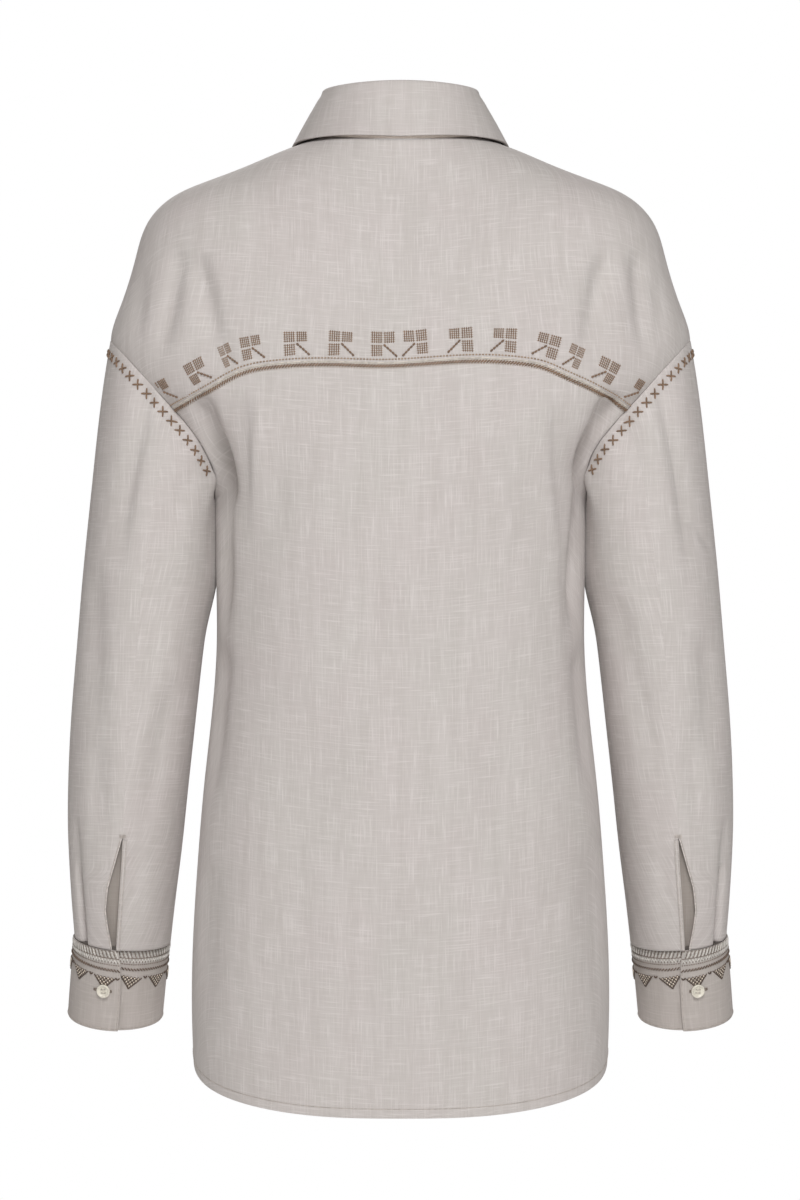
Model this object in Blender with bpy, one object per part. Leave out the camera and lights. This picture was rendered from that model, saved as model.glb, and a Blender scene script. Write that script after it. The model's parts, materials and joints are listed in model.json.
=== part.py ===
"""An embroidered linen shirt of the vyshyvanka kind, standing in its worn form with no wearer inside.

The shirt faces -Y and its back faces +Y. The wearer's left is +X. The origin is the middle of the
neck opening. Sizes are in millimetres here and are turned into metres when a mesh is made.

Every panel is read from one of two surfaces. The body surface is a stack of rings, from the neck
seam over the shoulders and down to the hem. The sleeve surface is a tube of rings that starts on
the armhole curve of the body surface. Each panel is a grid of points on its surface, bounded by
its own seams, and a Solidify modifier gives the cloth its thickness inwards.
"""

import math

import bpy
import numpy as np

METRES = 0.001

CLOTH = 1.2  # one layer of linen
FOLDED_CLOTH = 1.9  # the collar, the stand and the cuffs are two layers
BINDING_CLOTH = 1.0
SEAM = 0.4  # left between neighbouring pieces
SIDE_MM_PER_DEGREE = 2.6  # length of one degree round the body at its side seams

# Rings of the body from the neck seam to below the hem. Columns: half width, z at the sides,
# depth behind, z at centre back, depth in front, z at centre front, squareness of the ring.
BODY_RINGS = (
    (65.0, 4.0, 58.0, 0.0, 68.0, -58.0, 2.0),
    (89.0, -4.0, 65.0, -24.0, 74.0, -74.0, 2.1),
    (123.0, -18.3, 75.0, -52.0, 83.0, -97.0, 2.2),
    (156.0, -31.0, 84.0, -80.0, 92.0, -121.0, 2.3),
    (185.0, -45.0, 92.0, -107.0, 99.0, -145.0, 2.35),
    (202.3, -64.0, 97.0, -131.0, 104.0, -165.0, 2.4),
    (212.0, -93.0, 100.5, -152.0, 108.0, -186.0, 2.4),
    (224.0, -131.0, 102.5, -170.0, 111.0, -206.0, 2.4),
    (231.5, -158.0, 103.5, -184.0, 112.5, -220.0, 2.4),
    (226.0, -181.0, 104.5, -200.0, 113.0, -233.0, 2.4),
    (196.0, -214.0, 105.5, -226.0, 113.5, -252.0, 2.35),
    (165.0, -247.0, 106.5, -253.0, 114.0, -270.0, 2.3),
    (151.0, -272.0, 107.0, -274.0, 114.0, -284.0, 2.3),
    (147.9, -300.0, 107.0, -300.0, 114.0, -304.0, 2.3),
    (147.4, -343.0, 106.5, -343.0, 113.5, -343.0, 2.3),
    (146.9, -400.0, 105.5, -400.0, 112.0, -400.0, 2.3),
    (151.0, -458.0, 105.0, -458.0, 111.0, -458.0, 2.3),
    (157.2, -515.0, 105.0, -515.0, 110.5, -515.0, 2.3),
    (162.0, -573.0, 105.5, -573.0, 110.0, -573.0, 2.3),
    (165.6, -631.0, 106.0, -631.0, 110.0, -631.0, 2.3),
    (166.8, -688.0, 106.5, -688.0, 110.5, -688.0, 2.3),
    (165.5, -731.0, 107.0, -731.0, 111.0, -731.0, 2.3),
    (163.0, -772.0, 107.5, -772.0, 111.0, -772.0, 2.3),
)

# The armhole is an oval round the side of the body, widest where the yoke seam meets it.
ARMHOLE_TOP = -158.0
ARMHOLE_WIDEST = -214.0
ARMHOLE_BOTTOM = -284.0
ARMHOLE_SPREAD = 16.5  # degrees round the body, to each side of the side line
ARMHOLE_SHARPNESS = 0.9
SHOULDER_SEAM_TURN = -45  # where the front shoulder seam meets the armhole, in degrees round it

YOKE_SEAM_CENTRE = -181.0
YOKE_SEAM_LEVEL = 85.0  # half of the level stretch, before the seam drops towards the armholes
YOKE_SEAM_DROP_POWER = 1.5

HEM_BACK = -768.5
HEM_SIDE = -730.0
HEM_FRONT = -752.0
HEM_ROUNDING = 3.3

BAND_WIDTH = 30.0
FRONT_EDGE = -13.0  # x of the join of the two fronts, under the band

# Folds of the body, each a soft trough, or a ridge where the depth is negative. Columns: x and z
# at the top, x and z at the bottom, half width, depth.
BACK_FOLDS = (
    (145.0, -236.0, 127.0, -335.0, 12.0, 5.0),
    (-140.0, -236.0, -131.0, -338.0, 13.0, 4.5),
    (178.0, -92.0, 186.0, -176.0, 11.0, 3.5),
    (151.0, -92.0, 131.0, -172.0, 12.0, 3.5),
    (165.0, -84.0, 158.0, -168.0, 11.0, -2.5),
    (-181.0, -90.0, -187.0, -172.0, 11.0, 3.5),
    (-146.0, -88.0, -136.0, -166.0, 12.0, 3.5),
    (-163.0, -84.0, -161.0, -168.0, 11.0, -2.5),
    (144.0, -398.0, 153.0, -530.0, 14.0, 4.5),
    (-143.0, -410.0, -151.0, -520.0, 14.0, 4.0),
    (60.0, -470.0, 96.0, -700.0, 34.0, 2.5),
    (-52.0, -330.0, -92.0, -640.0, 34.0, 2.5),
)
FRONT_FOLDS = (
    (141.0, -240.0, 118.0, -350.0, 13.0, 5.0),
    (-138.0, -238.0, -120.0, -344.0, 13.0, 5.0),
    (170.0, -96.0, 160.0, -190.0, 12.0, 3.5),
    (-172.0, -94.0, -158.0, -184.0, 12.0, 3.5),
    (96.0, -300.0, 84.0, -560.0, 26.0, 3.5),
    (-104.0, -310.0, -88.0, -600.0, 26.0, 3.5),
    (142.0, -420.0, 152.0, -560.0, 14.0, 4.0),
    (-144.0, -400.0, -150.0, -540.0, 14.0, 4.0),
)

# Rings of a sleeve from the armhole to the top of the cuff. Columns: x and z of the outer point,
# x and z of the inner point, half depth, y of the middle, forward lean in degrees.
SLEEVE_RINGS = (
    (231.5, -158.0, 149.0, -284.0, 52.0, 0.0, 0.0),
    (236.5, -189.0, 149.4, -300.0, 56.0, 0.0, 0.0),
    (241.5, -227.0, 148.9, -320.0, 59.0, -1.0, 0.0),
    (247.8, -285.0, 149.2, -350.0, 60.0, -3.0, 0.0),
    (253.8, -343.0, 154.4, -383.0, 59.0, -5.0, 1.0),
    (258.8, -400.0, 159.6, -422.0, 57.5, -8.0, 3.0),
    (263.8, -458.0, 165.0, -470.0, 55.5, -13.0, 5.0),
    (266.8, -516.0, 170.8, -521.0, 53.0, -20.0, 8.0),
    (267.2, -545.0, 173.6, -547.0, 51.5, -24.0, 9.5),
    (266.4, -575.0, 177.0, -575.0, 49.5, -29.0, 11.0),
    (265.0, -604.0, 181.0, -605.0, 46.5, -34.5, 13.0),
    (263.0, -635.5, 185.4, -641.0, 39.5, -42.0, 11.0),
)
ARMHOLE_FADE = 120.0  # length over which a sleeve ring loses the shape of the armhole
ARMHOLE_LEAN = (0.83, 0.0, -0.56)  # the way a sleeve leaves the armhole
SLEEVE_CLEARANCE = 0.46  # how far the sleeve and cuff are moved that way

# Folds of a sleeve. Columns: turn round the sleeve and z at the top, the same at the bottom,
# half width in millimetres, depth. Turn 0 is the outer line, 90 the back, 180 the body side.
LEFT_SLEEVE_FOLDS = (
    (66.0, -186.0, 72.0, -318.0, 10.0, 3.5),
    (128.0, -262.0, 112.0, -360.0, 10.0, 3.5),
    (40.0, -330.0, 62.0, -470.0, 15.0, 2.5),
    (232.0, -250.0, 250.0, -370.0, 12.0, 4.0),
    (300.0, -300.0, 280.0, -440.0, 14.0, 3.0),
    (262.0, -440.0, 226.0, -486.0, 12.0, 4.0),
    (286.0, -500.0, 236.0, -528.0, 11.0, 3.5),
    (33.0, -568.0, 31.0, -640.0, 6.0, 4.0),
)
RIGHT_SLEEVE_FOLDS = (
    (70.0, -184.0, 76.0, -322.0, 10.0, 3.5),
    (126.0, -266.0, 116.0, -352.0, 10.0, 3.0),
    (44.0, -340.0, 58.0, -486.0, 15.0, 2.5),
    (234.0, -256.0, 252.0, -360.0, 12.0, 4.0),
    (296.0, -290.0, 284.0, -450.0, 14.0, 3.0),
    (258.0, -448.0, 224.0, -492.0, 12.0, 4.0),
    (282.0, -508.0, 240.0, -540.0, 11.0, 3.5),
    (30.0, -578.0, 28.0, -640.0, 6.0, 3.5),
)

# The slit at the back of the wrist. Columns: z, turn of the over edge, turn of the under edge.
SLIT = (
    (-553.0, 90.0, 90.0),
    (-575.0, 83.0, 89.5),
    (-595.0, 76.0, 88.5),
    (-614.0, 73.5, 87.5),
    (-628.0, 76.0, 86.5),
    (-643.0, 80.0, 85.5),
)
# Distances down the outer line of the sleeve's rows of points: above the slit, then beside it.
SLEEVE_ROWS = (0.0, 9.0, 22.0, 40.0, 62.0, 87.0, 114.0, 144.0, 176.0, 210.0, 245.0, 280.0,
               312.0, 342.0, 368.0, 388.0)
SLIT_ROWS = (407.0, 425.0, 442.0, 457.0, 470.0)
BINDING_WIDTH = 5.0
WRIST_RADIUS = 46.0

# Rings of a cuff, with the columns of the sleeve rings.
CUFF_RINGS = (
    (263.6, -636.0, 185.6, -641.5, 39.5, -42.2, 11.0),
    (266.8, -667.8, 188.8, -672.5, 39.0, -50.5, 13.5),
    (269.6, -699.6, 192.0, -703.0, 38.4, -59.0, 16.0),
)
CUFF_EDGE_TURN = 91.0
CUFF_UNDERLAP = 40.0  # degrees
CUFF_BUTTON_FROM_EDGE = 16.0  # degrees
CUFF_BUTTON_DOWN = 0.5  # of the cuff's depth
BUTTON_RADIUS = 5.1
BUTTON_THICKNESS = 2.4
BUTTON_ROUNDING = 0.6
BUTTON_SIDES = 12

# The collar stand's top ring and the roll of the leaf over it.
STAND_TOP = {"half": 58.5, "back": 53.5, "front": 61.0, "z_side": 37.0, "z_back": 39.6, "z_front": -32.0}
LAP_DEPTH = 2.5  # how far an under end lies inside an over end
STAND_OVERLAP = 14.0  # degrees past centre front, on each side
ROLL = ((-1.9, 0.5), (-1.8, 2.6), (-0.6, 4.9), (1.6, 5.8), (3.7, 4.7), (4.7, 2.2))
# The free edge of the leaf. Columns: turn of the fold, turn of the edge, distance down the body
# surface from the neck seam, distance off it.
LEAF_EDGE = (
    (0.0, 0.0, 0.8, 8.0),
    (30.0, 29.0, 1.6, 8.0),
    (55.0, 54.0, 6.0, 7.5),
    (75.0, 74.0, 13.0, 5.0),
    (90.0, 88.0, 18.5, 3.6),
    (110.0, 106.0, 28.0, 3.4),
    (135.0, 126.0, 42.0, 3.4),
    (158.0, 142.0, 60.0, 3.4),
    (173.0, 150.0, 72.0, 3.4),
)
FRONT_BUTTONS_BELOW_NECK = (52.0, 142.0, 232.0, 322.0, 412.0, 502.0)
FRONT_BUTTON_RADIUS = 5.6

LINEN_COLOUR = (0.60, 0.56, 0.52, 1.0)
COLLAR_COLOUR = (0.61, 0.57, 0.53, 1.0)
CREAM_COLOUR = (0.80, 0.76, 0.68, 1.0)


def spline(knots, values, at):
    """Reads a natural cubic spline through the rows of values at each place in at."""
    knots = np.asarray(knots, float)
    values = np.asarray(values, float)
    at = np.asarray(at, float)
    gaps = np.diff(knots)
    slopes = np.diff(values, axis=0) / gaps[:, None]
    matrix = np.eye(len(knots))
    right = np.zeros_like(values)
    for i in range(1, len(knots) - 1):
        matrix[i, i - 1 : i + 2] = gaps[i - 1], 2 * (gaps[i - 1] + gaps[i]), gaps[i]
        right[i] = 6 * (slopes[i] - slopes[i - 1])
    bends = np.linalg.solve(matrix, right)
    i = np.clip(np.searchsorted(knots, at, side="right") - 1, 0, len(gaps) - 1)
    step = (at - knots[i])[..., None]
    gap = gaps[i][..., None]
    return (
        values[i]
        + step * (slopes[i] - gap * (2 * bends[i] + bends[i + 1]) / 6)
        + step**2 * bends[i] / 2
        + step**3 * (bends[i + 1] - bends[i]) / (6 * gap)
    )


def smooth(value):
    """0 below 0, 1 above 1, with a soft rise between."""
    value = np.clip(value, 0.0, 1.0)
    return value * value * (3 - 2 * value)


def along(rows, first, second):
    """Distance along the path of two columns of a table, starting at 0."""
    table = np.asarray(rows, float)
    steps = np.hypot(np.diff(table[:, first]), np.diff(table[:, second]))
    return np.concatenate([[0.0], np.cumsum(steps)])


def unit(vectors):
    return vectors / np.linalg.norm(vectors, axis=-1, keepdims=True)


def trough(across, down, half_width, depth):
    """Depth of one fold at a distance across it and a fraction down its length."""
    ends = smooth(down / 0.22) * smooth((1.0 - down) / 0.45)
    return -depth * np.exp(-((across / half_width) ** 2)) * ends


# The body surface.

BODY_KNOTS = along(BODY_RINGS, 0, 1)
FINE_DOWN = np.linspace(0.0, BODY_KNOTS[-1], 1200)
FINE_SIDE_Z = spline(BODY_KNOTS, BODY_RINGS, FINE_DOWN)[:, 1]


def down_at(z):
    """Distance down the body surface at which its side line has this z."""
    return np.interp(-np.asarray(z, float), -FINE_SIDE_Z, FINE_DOWN)


def smooth_body(turn, down):
    """The body surface without folds. turn is in degrees round from centre back."""
    turn, down = np.broadcast_arrays(np.asarray(turn, float), np.asarray(down, float))
    half, z_side, back, z_back, front, z_front, square = np.moveaxis(
        spline(BODY_KNOTS, BODY_RINGS, down), -1, 0
    )
    sine, cosine = np.sin(np.radians(turn)), np.cos(np.radians(turn))
    behind = cosine >= 0
    depth = np.where(behind, back, front)
    radius = (
        (np.abs(sine) / half) ** square + (np.abs(cosine) / depth) ** square
    ) ** (-1 / square)
    z = z_side + (np.where(behind, z_back, z_front) - z_side) * cosine**2
    return np.stack([radius * sine, radius * cosine, z], axis=-1)


def body_normal(turn, down):
    small_turn, small_down = 0.2, 0.5
    down = np.maximum(down, small_down)
    round_body = smooth_body(turn + small_turn, down) - smooth_body(turn - small_turn, down)
    down_body = smooth_body(turn, down + small_down) - smooth_body(turn, down - small_down)
    return unit(np.cross(round_body, down_body))


def body(turn, down, lift=0.0):
    """The body surface with its folds, moved outwards by lift."""
    turn, down = np.broadcast_arrays(np.asarray(turn, float), np.asarray(down, float))
    points = smooth_body(turn, down)
    relief = np.zeros(turn.shape)
    for folds, sign in ((BACK_FOLDS, 1), (FRONT_FOLDS, -1)):
        facing = smooth((sign * np.cos(np.radians(turn)) - 0.05) / 0.25)
        for x_top, z_top, x_low, z_low, half_width, depth in folds:
            length = math.hypot(x_low - x_top, z_low - z_top)
            way = ((x_low - x_top) / length, (z_low - z_top) / length)
            from_top = (points[..., 0] - x_top, points[..., 2] - z_top)
            fraction = (from_top[0] * way[0] + from_top[1] * way[1]) / length
            across = from_top[0] * way[1] - from_top[1] * way[0]
            relief += facing * trough(across, fraction, half_width, depth)
    return points + body_normal(turn, down) * (relief + lift)[..., None]


def armhole(turn_round):
    """(turn, down) on the body surface of the left armhole. 0 is its top, 90 its back."""
    angle = np.radians(np.asarray(turn_round, float))
    sine, cosine = np.sin(angle), np.cos(angle)
    spread = ARMHOLE_SPREAD * np.sign(sine) * np.abs(sine) ** ARMHOLE_SHARPNESS
    upper = ARMHOLE_TOP - ARMHOLE_WIDEST
    lower = ARMHOLE_WIDEST - ARMHOLE_BOTTOM
    z = ARMHOLE_WIDEST + np.where(cosine >= 0, upper, lower) * cosine
    return 90.0 - spread, down_at(z)


YOKE_CORNER = armhole(90)
YOKE_CORNER_POINT = smooth_body(*YOKE_CORNER)


def solve_down(turn, wanted_z):
    """Distance down the body surface at which wanted_z(x) is met, for each turn."""
    low = np.zeros(np.shape(turn))
    high = np.full(np.shape(turn), BODY_KNOTS[-1])
    for _ in range(40):
        middle = (low + high) / 2
        points = smooth_body(turn, middle)
        above = points[..., 2] > wanted_z(points[..., 0], turn)
        low = np.where(above, middle, low)
        high = np.where(above, high, middle)
    return (low + high) / 2


def yoke_seam_z(x, turn):
    run = (np.abs(x) - YOKE_SEAM_LEVEL) / (YOKE_CORNER_POINT[0] - YOKE_SEAM_LEVEL)
    drop = np.clip(run, 0.0, 1.0) ** YOKE_SEAM_DROP_POWER
    return YOKE_SEAM_CENTRE + (YOKE_CORNER_POINT[2] - YOKE_SEAM_CENTRE) * drop


def hem_z(x, turn):
    from_back = np.abs(turn) / 90
    from_front = np.abs(180 - np.abs(turn)) / 90
    back = HEM_BACK + (HEM_SIDE - HEM_BACK) * np.clip(from_back, 0, 1) ** HEM_ROUNDING
    front = HEM_FRONT + (HEM_SIDE - HEM_FRONT) * np.clip(from_front, 0, 1) ** HEM_ROUNDING
    return np.where(from_back <= 1, back, front)


def spread_out(count):
    """Fractions from -1 to 1, closer together towards the ends."""
    bend = 1.3
    return np.arctan(bend * np.linspace(-1, 1, count)) / math.atan(bend)


# The sleeve surface, for the wearer's left. The right sleeve is its mirror image.

SLEEVE_KNOTS = along(SLEEVE_RINGS, 0, 1)
SLEEVE_LENGTH = SLEEVE_KNOTS[-1]
CUFF_KNOTS = along(CUFF_RINGS, 0, 1)


def oval(ring, turn):
    """Points of one oval ring from its table columns."""
    outer_x, outer_z, inner_x, inner_z, half_depth, y, lean = np.moveaxis(ring, -1, 0)
    cosine, sine = np.cos(np.radians(turn)), np.sin(np.radians(turn))
    lean = np.radians(lean)
    return np.stack(
        [
            (outer_x + inner_x) / 2 + (outer_x - inner_x) / 2 * cosine,
            y + half_depth * np.cos(lean) * sine,
            (outer_z + inner_z) / 2
            + (outer_z - inner_z) / 2 * cosine
            - half_depth * np.sin(lean) * sine,
        ],
        axis=-1,
    )


def smooth_sleeve(turn, down, side):
    """The sleeve surface without folds. down is the distance down its outer line."""
    turn, down = np.broadcast_arrays(np.asarray(turn, float), np.asarray(down, float))
    points = oval(spline(SLEEVE_KNOTS, SLEEVE_RINGS, down), turn)
    seam_turn, seam_down = armhole(turn)
    seam = body(side * seam_turn, seam_down) * (side, 1, 1)
    start = oval(np.broadcast_to(np.asarray(SLEEVE_RINGS[0]), turn.shape + (7,)), turn)
    remains = 1 - smooth(down / ARMHOLE_FADE)
    return points + (seam - start) * remains[..., None] + SLEEVE_CLEARANCE * np.asarray(ARMHOLE_LEAN)


def sleeve(turn, down, side, lift=0.0):
    """The sleeve surface with its folds, moved outwards by lift, on the side that is asked for."""
    turn, down = np.broadcast_arrays(np.asarray(turn, float), np.asarray(down, float))
    points = smooth_sleeve(turn, down, side)
    round_sleeve = smooth_sleeve(turn + 1, down, side) - smooth_sleeve(turn - 1, down, side)
    down_sleeve = smooth_sleeve(turn, down + 1, side) - smooth_sleeve(turn, down - 1, side)
    normal = unit(np.cross(down_sleeve, round_sleeve))
    radius = np.linalg.norm(round_sleeve, axis=-1) / math.radians(2)
    relief = np.zeros(turn.shape)
    for turn_top, z_top, turn_low, z_low, half_width, depth in (
        LEFT_SLEEVE_FOLDS if side > 0 else RIGHT_SLEEVE_FOLDS
    ):
        fraction = (points[..., 2] - z_top) / (z_low - z_top)
        line = turn_top + (turn_low - turn_top) * np.clip(fraction, 0, 1)
        across = (turn - line + 180) % 360 - 180
        relief += trough(np.radians(across) * radius, fraction, half_width, depth)
    relief *= smooth(down / 30)
    points = points + normal * (relief + lift)[..., None]
    return points * (side, 1, 1)


def cuff(turn, depth_fraction, side, inwards=0.0):
    """The cuff surface, moved inwards towards the wrist."""
    turn, down = np.broadcast_arrays(
        np.asarray(turn, float), np.asarray(depth_fraction, float) * CUFF_KNOTS[-1]
    )
    ring = spline(CUFF_KNOTS, CUFF_RINGS, down)
    points = oval(ring, turn)
    middle = (oval(ring, turn) + oval(ring, turn + 180)) / 2
    points = points + unit(middle - points) * np.asarray(inwards)[..., None]
    points = points + SLEEVE_CLEARANCE * np.asarray(ARMHOLE_LEAN)
    return points * (side, 1, 1)


def material(name, colour, roughness):
    made = bpy.data.materials.new(name)
    made.use_nodes = True
    shader = made.node_tree.nodes["Principled BSDF"]
    shader.inputs["Base Color"].default_value = colour
    shader.inputs["Roughness"].default_value = roughness
    shader.inputs["Metallic"].default_value = 0.0
    made.diffuse_color = colour
    return made


def cloth(name, grid, core, thickness, finish):
    """A wall of cloth from a grid of outer points. core is a point inside each row."""
    rows, columns = grid.shape[:2]
    corners = np.arange(rows * columns).reshape(rows, columns)
    faces = np.stack(
        [corners[:-1, :-1], corners[:-1, 1:], corners[1:, 1:], corners[1:, :-1]], axis=-1
    ).reshape(-1, 4)
    points = grid.reshape(-1, 3)
    core = np.broadcast_to(np.asarray(core, float), (rows, 3)).repeat(columns, axis=0)
    diagonals = (points[faces[:, 2]] - points[faces[:, 0]], points[faces[:, 3]] - points[faces[:, 1]])
    outwards = (points - core)[faces[:, 0]]
    if (np.cross(*diagonals) * outwards).sum() < 0:
        faces = faces[:, ::-1]
    mesh = bpy.data.meshes.new(name)
    mesh.from_pydata((points * METRES).tolist(), [], faces.tolist())
    mesh.materials.append(finish)
    made = bpy.data.objects.new(name, mesh)
    bpy.context.scene.collection.objects.link(made)
    weld = made.modifiers.new("close the ring", "WELD")
    weld.merge_threshold = 0.00001
    wall = made.modifiers.new("thickness", "SOLIDIFY")
    wall.thickness = thickness * METRES
    wall.offset = -1.0
    mesh.shade_smooth()
    return made


def button(name, centre, normal, radius, finish):
    """A turned button lying on a surface, at a seam's gap from it."""
    profile = (
        (0.0, 0.0),
        (radius - BUTTON_ROUNDING, 0.0),
        (radius, BUTTON_ROUNDING),
        (radius, BUTTON_THICKNESS - BUTTON_ROUNDING),
        (radius - BUTTON_ROUNDING, BUTTON_THICKNESS),
        (radius * 0.7, BUTTON_THICKNESS),
        (radius * 0.6, BUTTON_THICKNESS - 0.5),
        (0.0, BUTTON_THICKNESS - 0.5),
    )
    normal = unit(np.asarray(normal, float))
    first = unit(np.cross(normal, (0.0, 0.0, 1.0)))
    second = np.cross(normal, first)
    base = np.asarray(centre) + normal * SEAM
    points = [base + normal * profile[0][1]]
    for out, up in profile[1:-1]:
        for step in range(BUTTON_SIDES):
            turn = 2 * math.pi * step / BUTTON_SIDES
            points.append(
                base + normal * up + (first * math.cos(turn) + second * math.sin(turn)) * out
            )
    points.append(base + normal * profile[-1][1])
    rings = len(profile) - 2
    faces = []
    for step in range(BUTTON_SIDES):
        after = (step + 1) % BUTTON_SIDES
        faces.append((0, 1 + after, 1 + step))
        last = 1 + (rings - 1) * BUTTON_SIDES
        faces.append((len(points) - 1, last + step, last + after))
        for ring in range(rings - 1):
            low = 1 + ring * BUTTON_SIDES
            high = low + BUTTON_SIDES
            faces.append((low + step, low + after, high + after, high + step))
    mesh = bpy.data.meshes.new(name)
    mesh.from_pydata((np.array(points) * METRES).tolist(), [], faces)
    mesh.materials.append(finish)
    made = bpy.data.objects.new(name, mesh)
    bpy.context.scene.collection.objects.link(made)
    return made


def axis_of(grid):
    """A point on the upright middle line of the body, for each row of a grid."""
    return np.stack([np.zeros(len(grid)), np.zeros(len(grid)), grid[..., 2].mean(axis=1)], axis=-1)


ARMHOLE_STEP = 15  # degrees between the points of the armhole and the sleeve rings
BACK_COLUMNS = 25
SHOULDER_ROWS = 10
TORSO_ROWS = 16


def build_yoke(finish):
    side_turns = np.arange(SHOULDER_SEAM_TURN, 91, ARMHOLE_STEP)
    side = np.array([armhole(turn) for turn in side_turns])
    back_turn = YOKE_CORNER[0] * spread_out(BACK_COLUMNS)[::-1]
    back = np.stack([back_turn, solve_down(back_turn, yoke_seam_z)], axis=-1)
    mirrored = side[::-1] * (-1, 1)
    bottom = np.concatenate([side[:-1], back, mirrored[1:]])
    fractions = np.linspace(0, 1, SHOULDER_ROWS + 1)[:, None]
    grid = body(bottom[:, 0], fractions * (bottom[:, 1] - SEAM / 2))
    cloth("back_yoke", grid, axis_of(grid) - (0, 0, 60), CLOTH, finish)


def build_back(finish):
    spread = spread_out(BACK_COLUMNS)
    side_turn, side_down = armhole(np.arange(90, 181, ARMHOLE_STEP))
    seam_turn = side_turn[0] * spread
    bow = solve_down(seam_turn, yoke_seam_z) - side_down[0]
    rows = []
    for i, (turn, down) in enumerate(zip(side_turn, side_down)):
        left = 1 - i / (len(side_turn) - 1)
        rows.append((turn * spread, down + bow * left**0.8 + SEAM / 2 * (i == 0)))
    clear = SEAM / 2 / SIDE_MM_PER_DEGREE
    hem_turn = (90 - clear) * spread
    hem = solve_down(hem_turn, hem_z)
    for fraction in (np.arange(1, TORSO_ROWS + 1) / TORSO_ROWS) ** 1.1:
        rows.append((hem_turn, side_down[-1] + (hem - side_down[-1]) * fraction))
    rows[len(side_turn) - 1] = (hem_turn, rows[len(side_turn) - 1][1])
    grid = np.array([body(turn, down) for turn, down in rows])
    cloth("back", grid, axis_of(grid), CLOTH, finish)


def front_turn(down, x):
    """Turn at which the front of the body surface has this x."""
    depth = spline(BODY_KNOTS, BODY_RINGS, down)[..., 4]
    return 180.0 - np.degrees(np.arcsin(x / depth))


def build_front(name, side, finish):
    """side is 1 for the wearer's left. Turns are mirrored for the right."""
    edge_x = side * FRONT_EDGE + SEAM / 2
    seam_turn, seam_down = armhole(SHOULDER_SEAM_TURN)
    clear = SEAM / 2 / SIDE_MM_PER_DEGREE
    seam = seam_down * np.arange(SHOULDER_ROWS + 1) / SHOULDER_ROWS
    radius = np.linalg.norm(smooth_body(seam_turn, seam)[:, :2], axis=-1)
    boundary = list(zip(seam_turn + np.degrees(SEAM / radius), seam))
    round_armhole = np.arange(SHOULDER_SEAM_TURN - ARMHOLE_STEP, -181, -ARMHOLE_STEP)
    boundary += list(zip(*armhole(round_armhole)))
    boundary[-1] = (90 + clear, boundary[-1][1])
    fractions = np.linspace(0, 1, 13)
    rows = []
    for turn, down in boundary:
        rows.append((turn + (front_turn(down, edge_x) - turn) * fractions, np.full(13, down)))
    last_down = boundary[-1][1]
    start = 90 + clear
    for fraction in (np.arange(1, TORSO_ROWS + 1) / TORSO_ROWS) ** 1.1:
        turns = start + (front_turn(last_down, edge_x) - start) * fractions
        hem = solve_down(turns, hem_z)
        down = last_down + (hem - last_down) * fraction
        turns = start + (front_turn(down[-1], edge_x) - start) * fractions
        rows.append((turns, down))
    grid = np.array([body(side * turn, down) for turn, down in rows])
    cloth(name, grid, axis_of(grid), CLOTH, finish)


def build_band(finish):
    """The strip sewn to the right front's edge, lying over the left front's edge."""
    end = float(solve_down(np.array([180.0]), hem_z)[0])
    down = np.linspace(0.0, end, 26)
    columns = np.linspace(-BAND_WIDTH / 2, BAND_WIDTH / 2, 4)
    lift = SEAM + CLOTH
    grid = np.array([[body(front_turn(d, x), d, lift) for x in columns] for d in down])
    cloth("front_band", grid, axis_of(grid), CLOTH, finish)
    return lift


def stand_ring(turn):
    """Top ring of the collar stand."""
    sine, cosine = np.sin(np.radians(turn)), np.cos(np.radians(turn))
    depth = np.where(cosine >= 0, STAND_TOP["back"], STAND_TOP["front"])
    z_middle = np.where(cosine >= 0, STAND_TOP["z_back"], STAND_TOP["z_front"])
    radius = 1 / np.sqrt((sine / STAND_TOP["half"]) ** 2 + (cosine / depth) ** 2)
    z = STAND_TOP["z_side"] + (z_middle - STAND_TOP["z_side"]) * cosine**2
    return np.stack([radius * sine, radius * cosine, z], axis=-1)


def build_stand(finish):
    """The stand starts at its over end, left of centre front, and ends under its own start."""
    sweep = np.linspace(0, 360 + 2 * STAND_OVERLAP, 42)
    turn = 180 - STAND_OVERLAP + sweep
    inwards = LAP_DEPTH * smooth((sweep - 290) / 60)
    foot = smooth_body(turn, 0.0) + (0, 0, SEAM + 0.2)
    top = stand_ring(turn)
    grid = []
    for fraction in (0.0, 0.35, 0.7, 1.0):
        ring = foot + (top - foot) * fraction
        middle = np.stack([np.zeros(len(turn)), np.zeros(len(turn)), ring[:, 2]], axis=-1)
        grid.append(ring + unit(middle - ring) * inwards[:, None])
    grid = np.array(grid)
    cloth("collar_stand", grid, axis_of(grid), FOLDED_CLOTH, finish)


def build_leaf(finish):
    columns = np.linspace(-1, 1, 37) * LEAF_EDGE[-1][0]
    table = spline([row[0] for row in LEAF_EDGE], [row[1:] for row in LEAF_EDGE], np.abs(columns))
    edge = body(np.sign(columns) * table[:, 0], table[:, 1], table[:, 2])
    fold = stand_ring(columns)
    outwards = fold * (1, 1, 0)
    outwards = unit(outwards)
    up = np.array([0.0, 0.0, 1.0])
    rows = [fold + outwards * out + up * rise for out, rise in ROLL]
    start = rows[-1]
    for fraction in (0.12, 0.28, 0.45, 0.63, 0.82, 1.0):
        bulge = 0.8 * math.sin(math.pi * fraction)
        rows.append(start + (edge - start) * fraction + (outwards + up * 0.4) * bulge)
    grid = np.array(rows)
    core = np.array([(0.0, 0.0, 10.0)] * len(rows))
    cloth("collar_leaf", grid, core, FOLDED_CLOTH - 0.1, finish)


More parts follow.
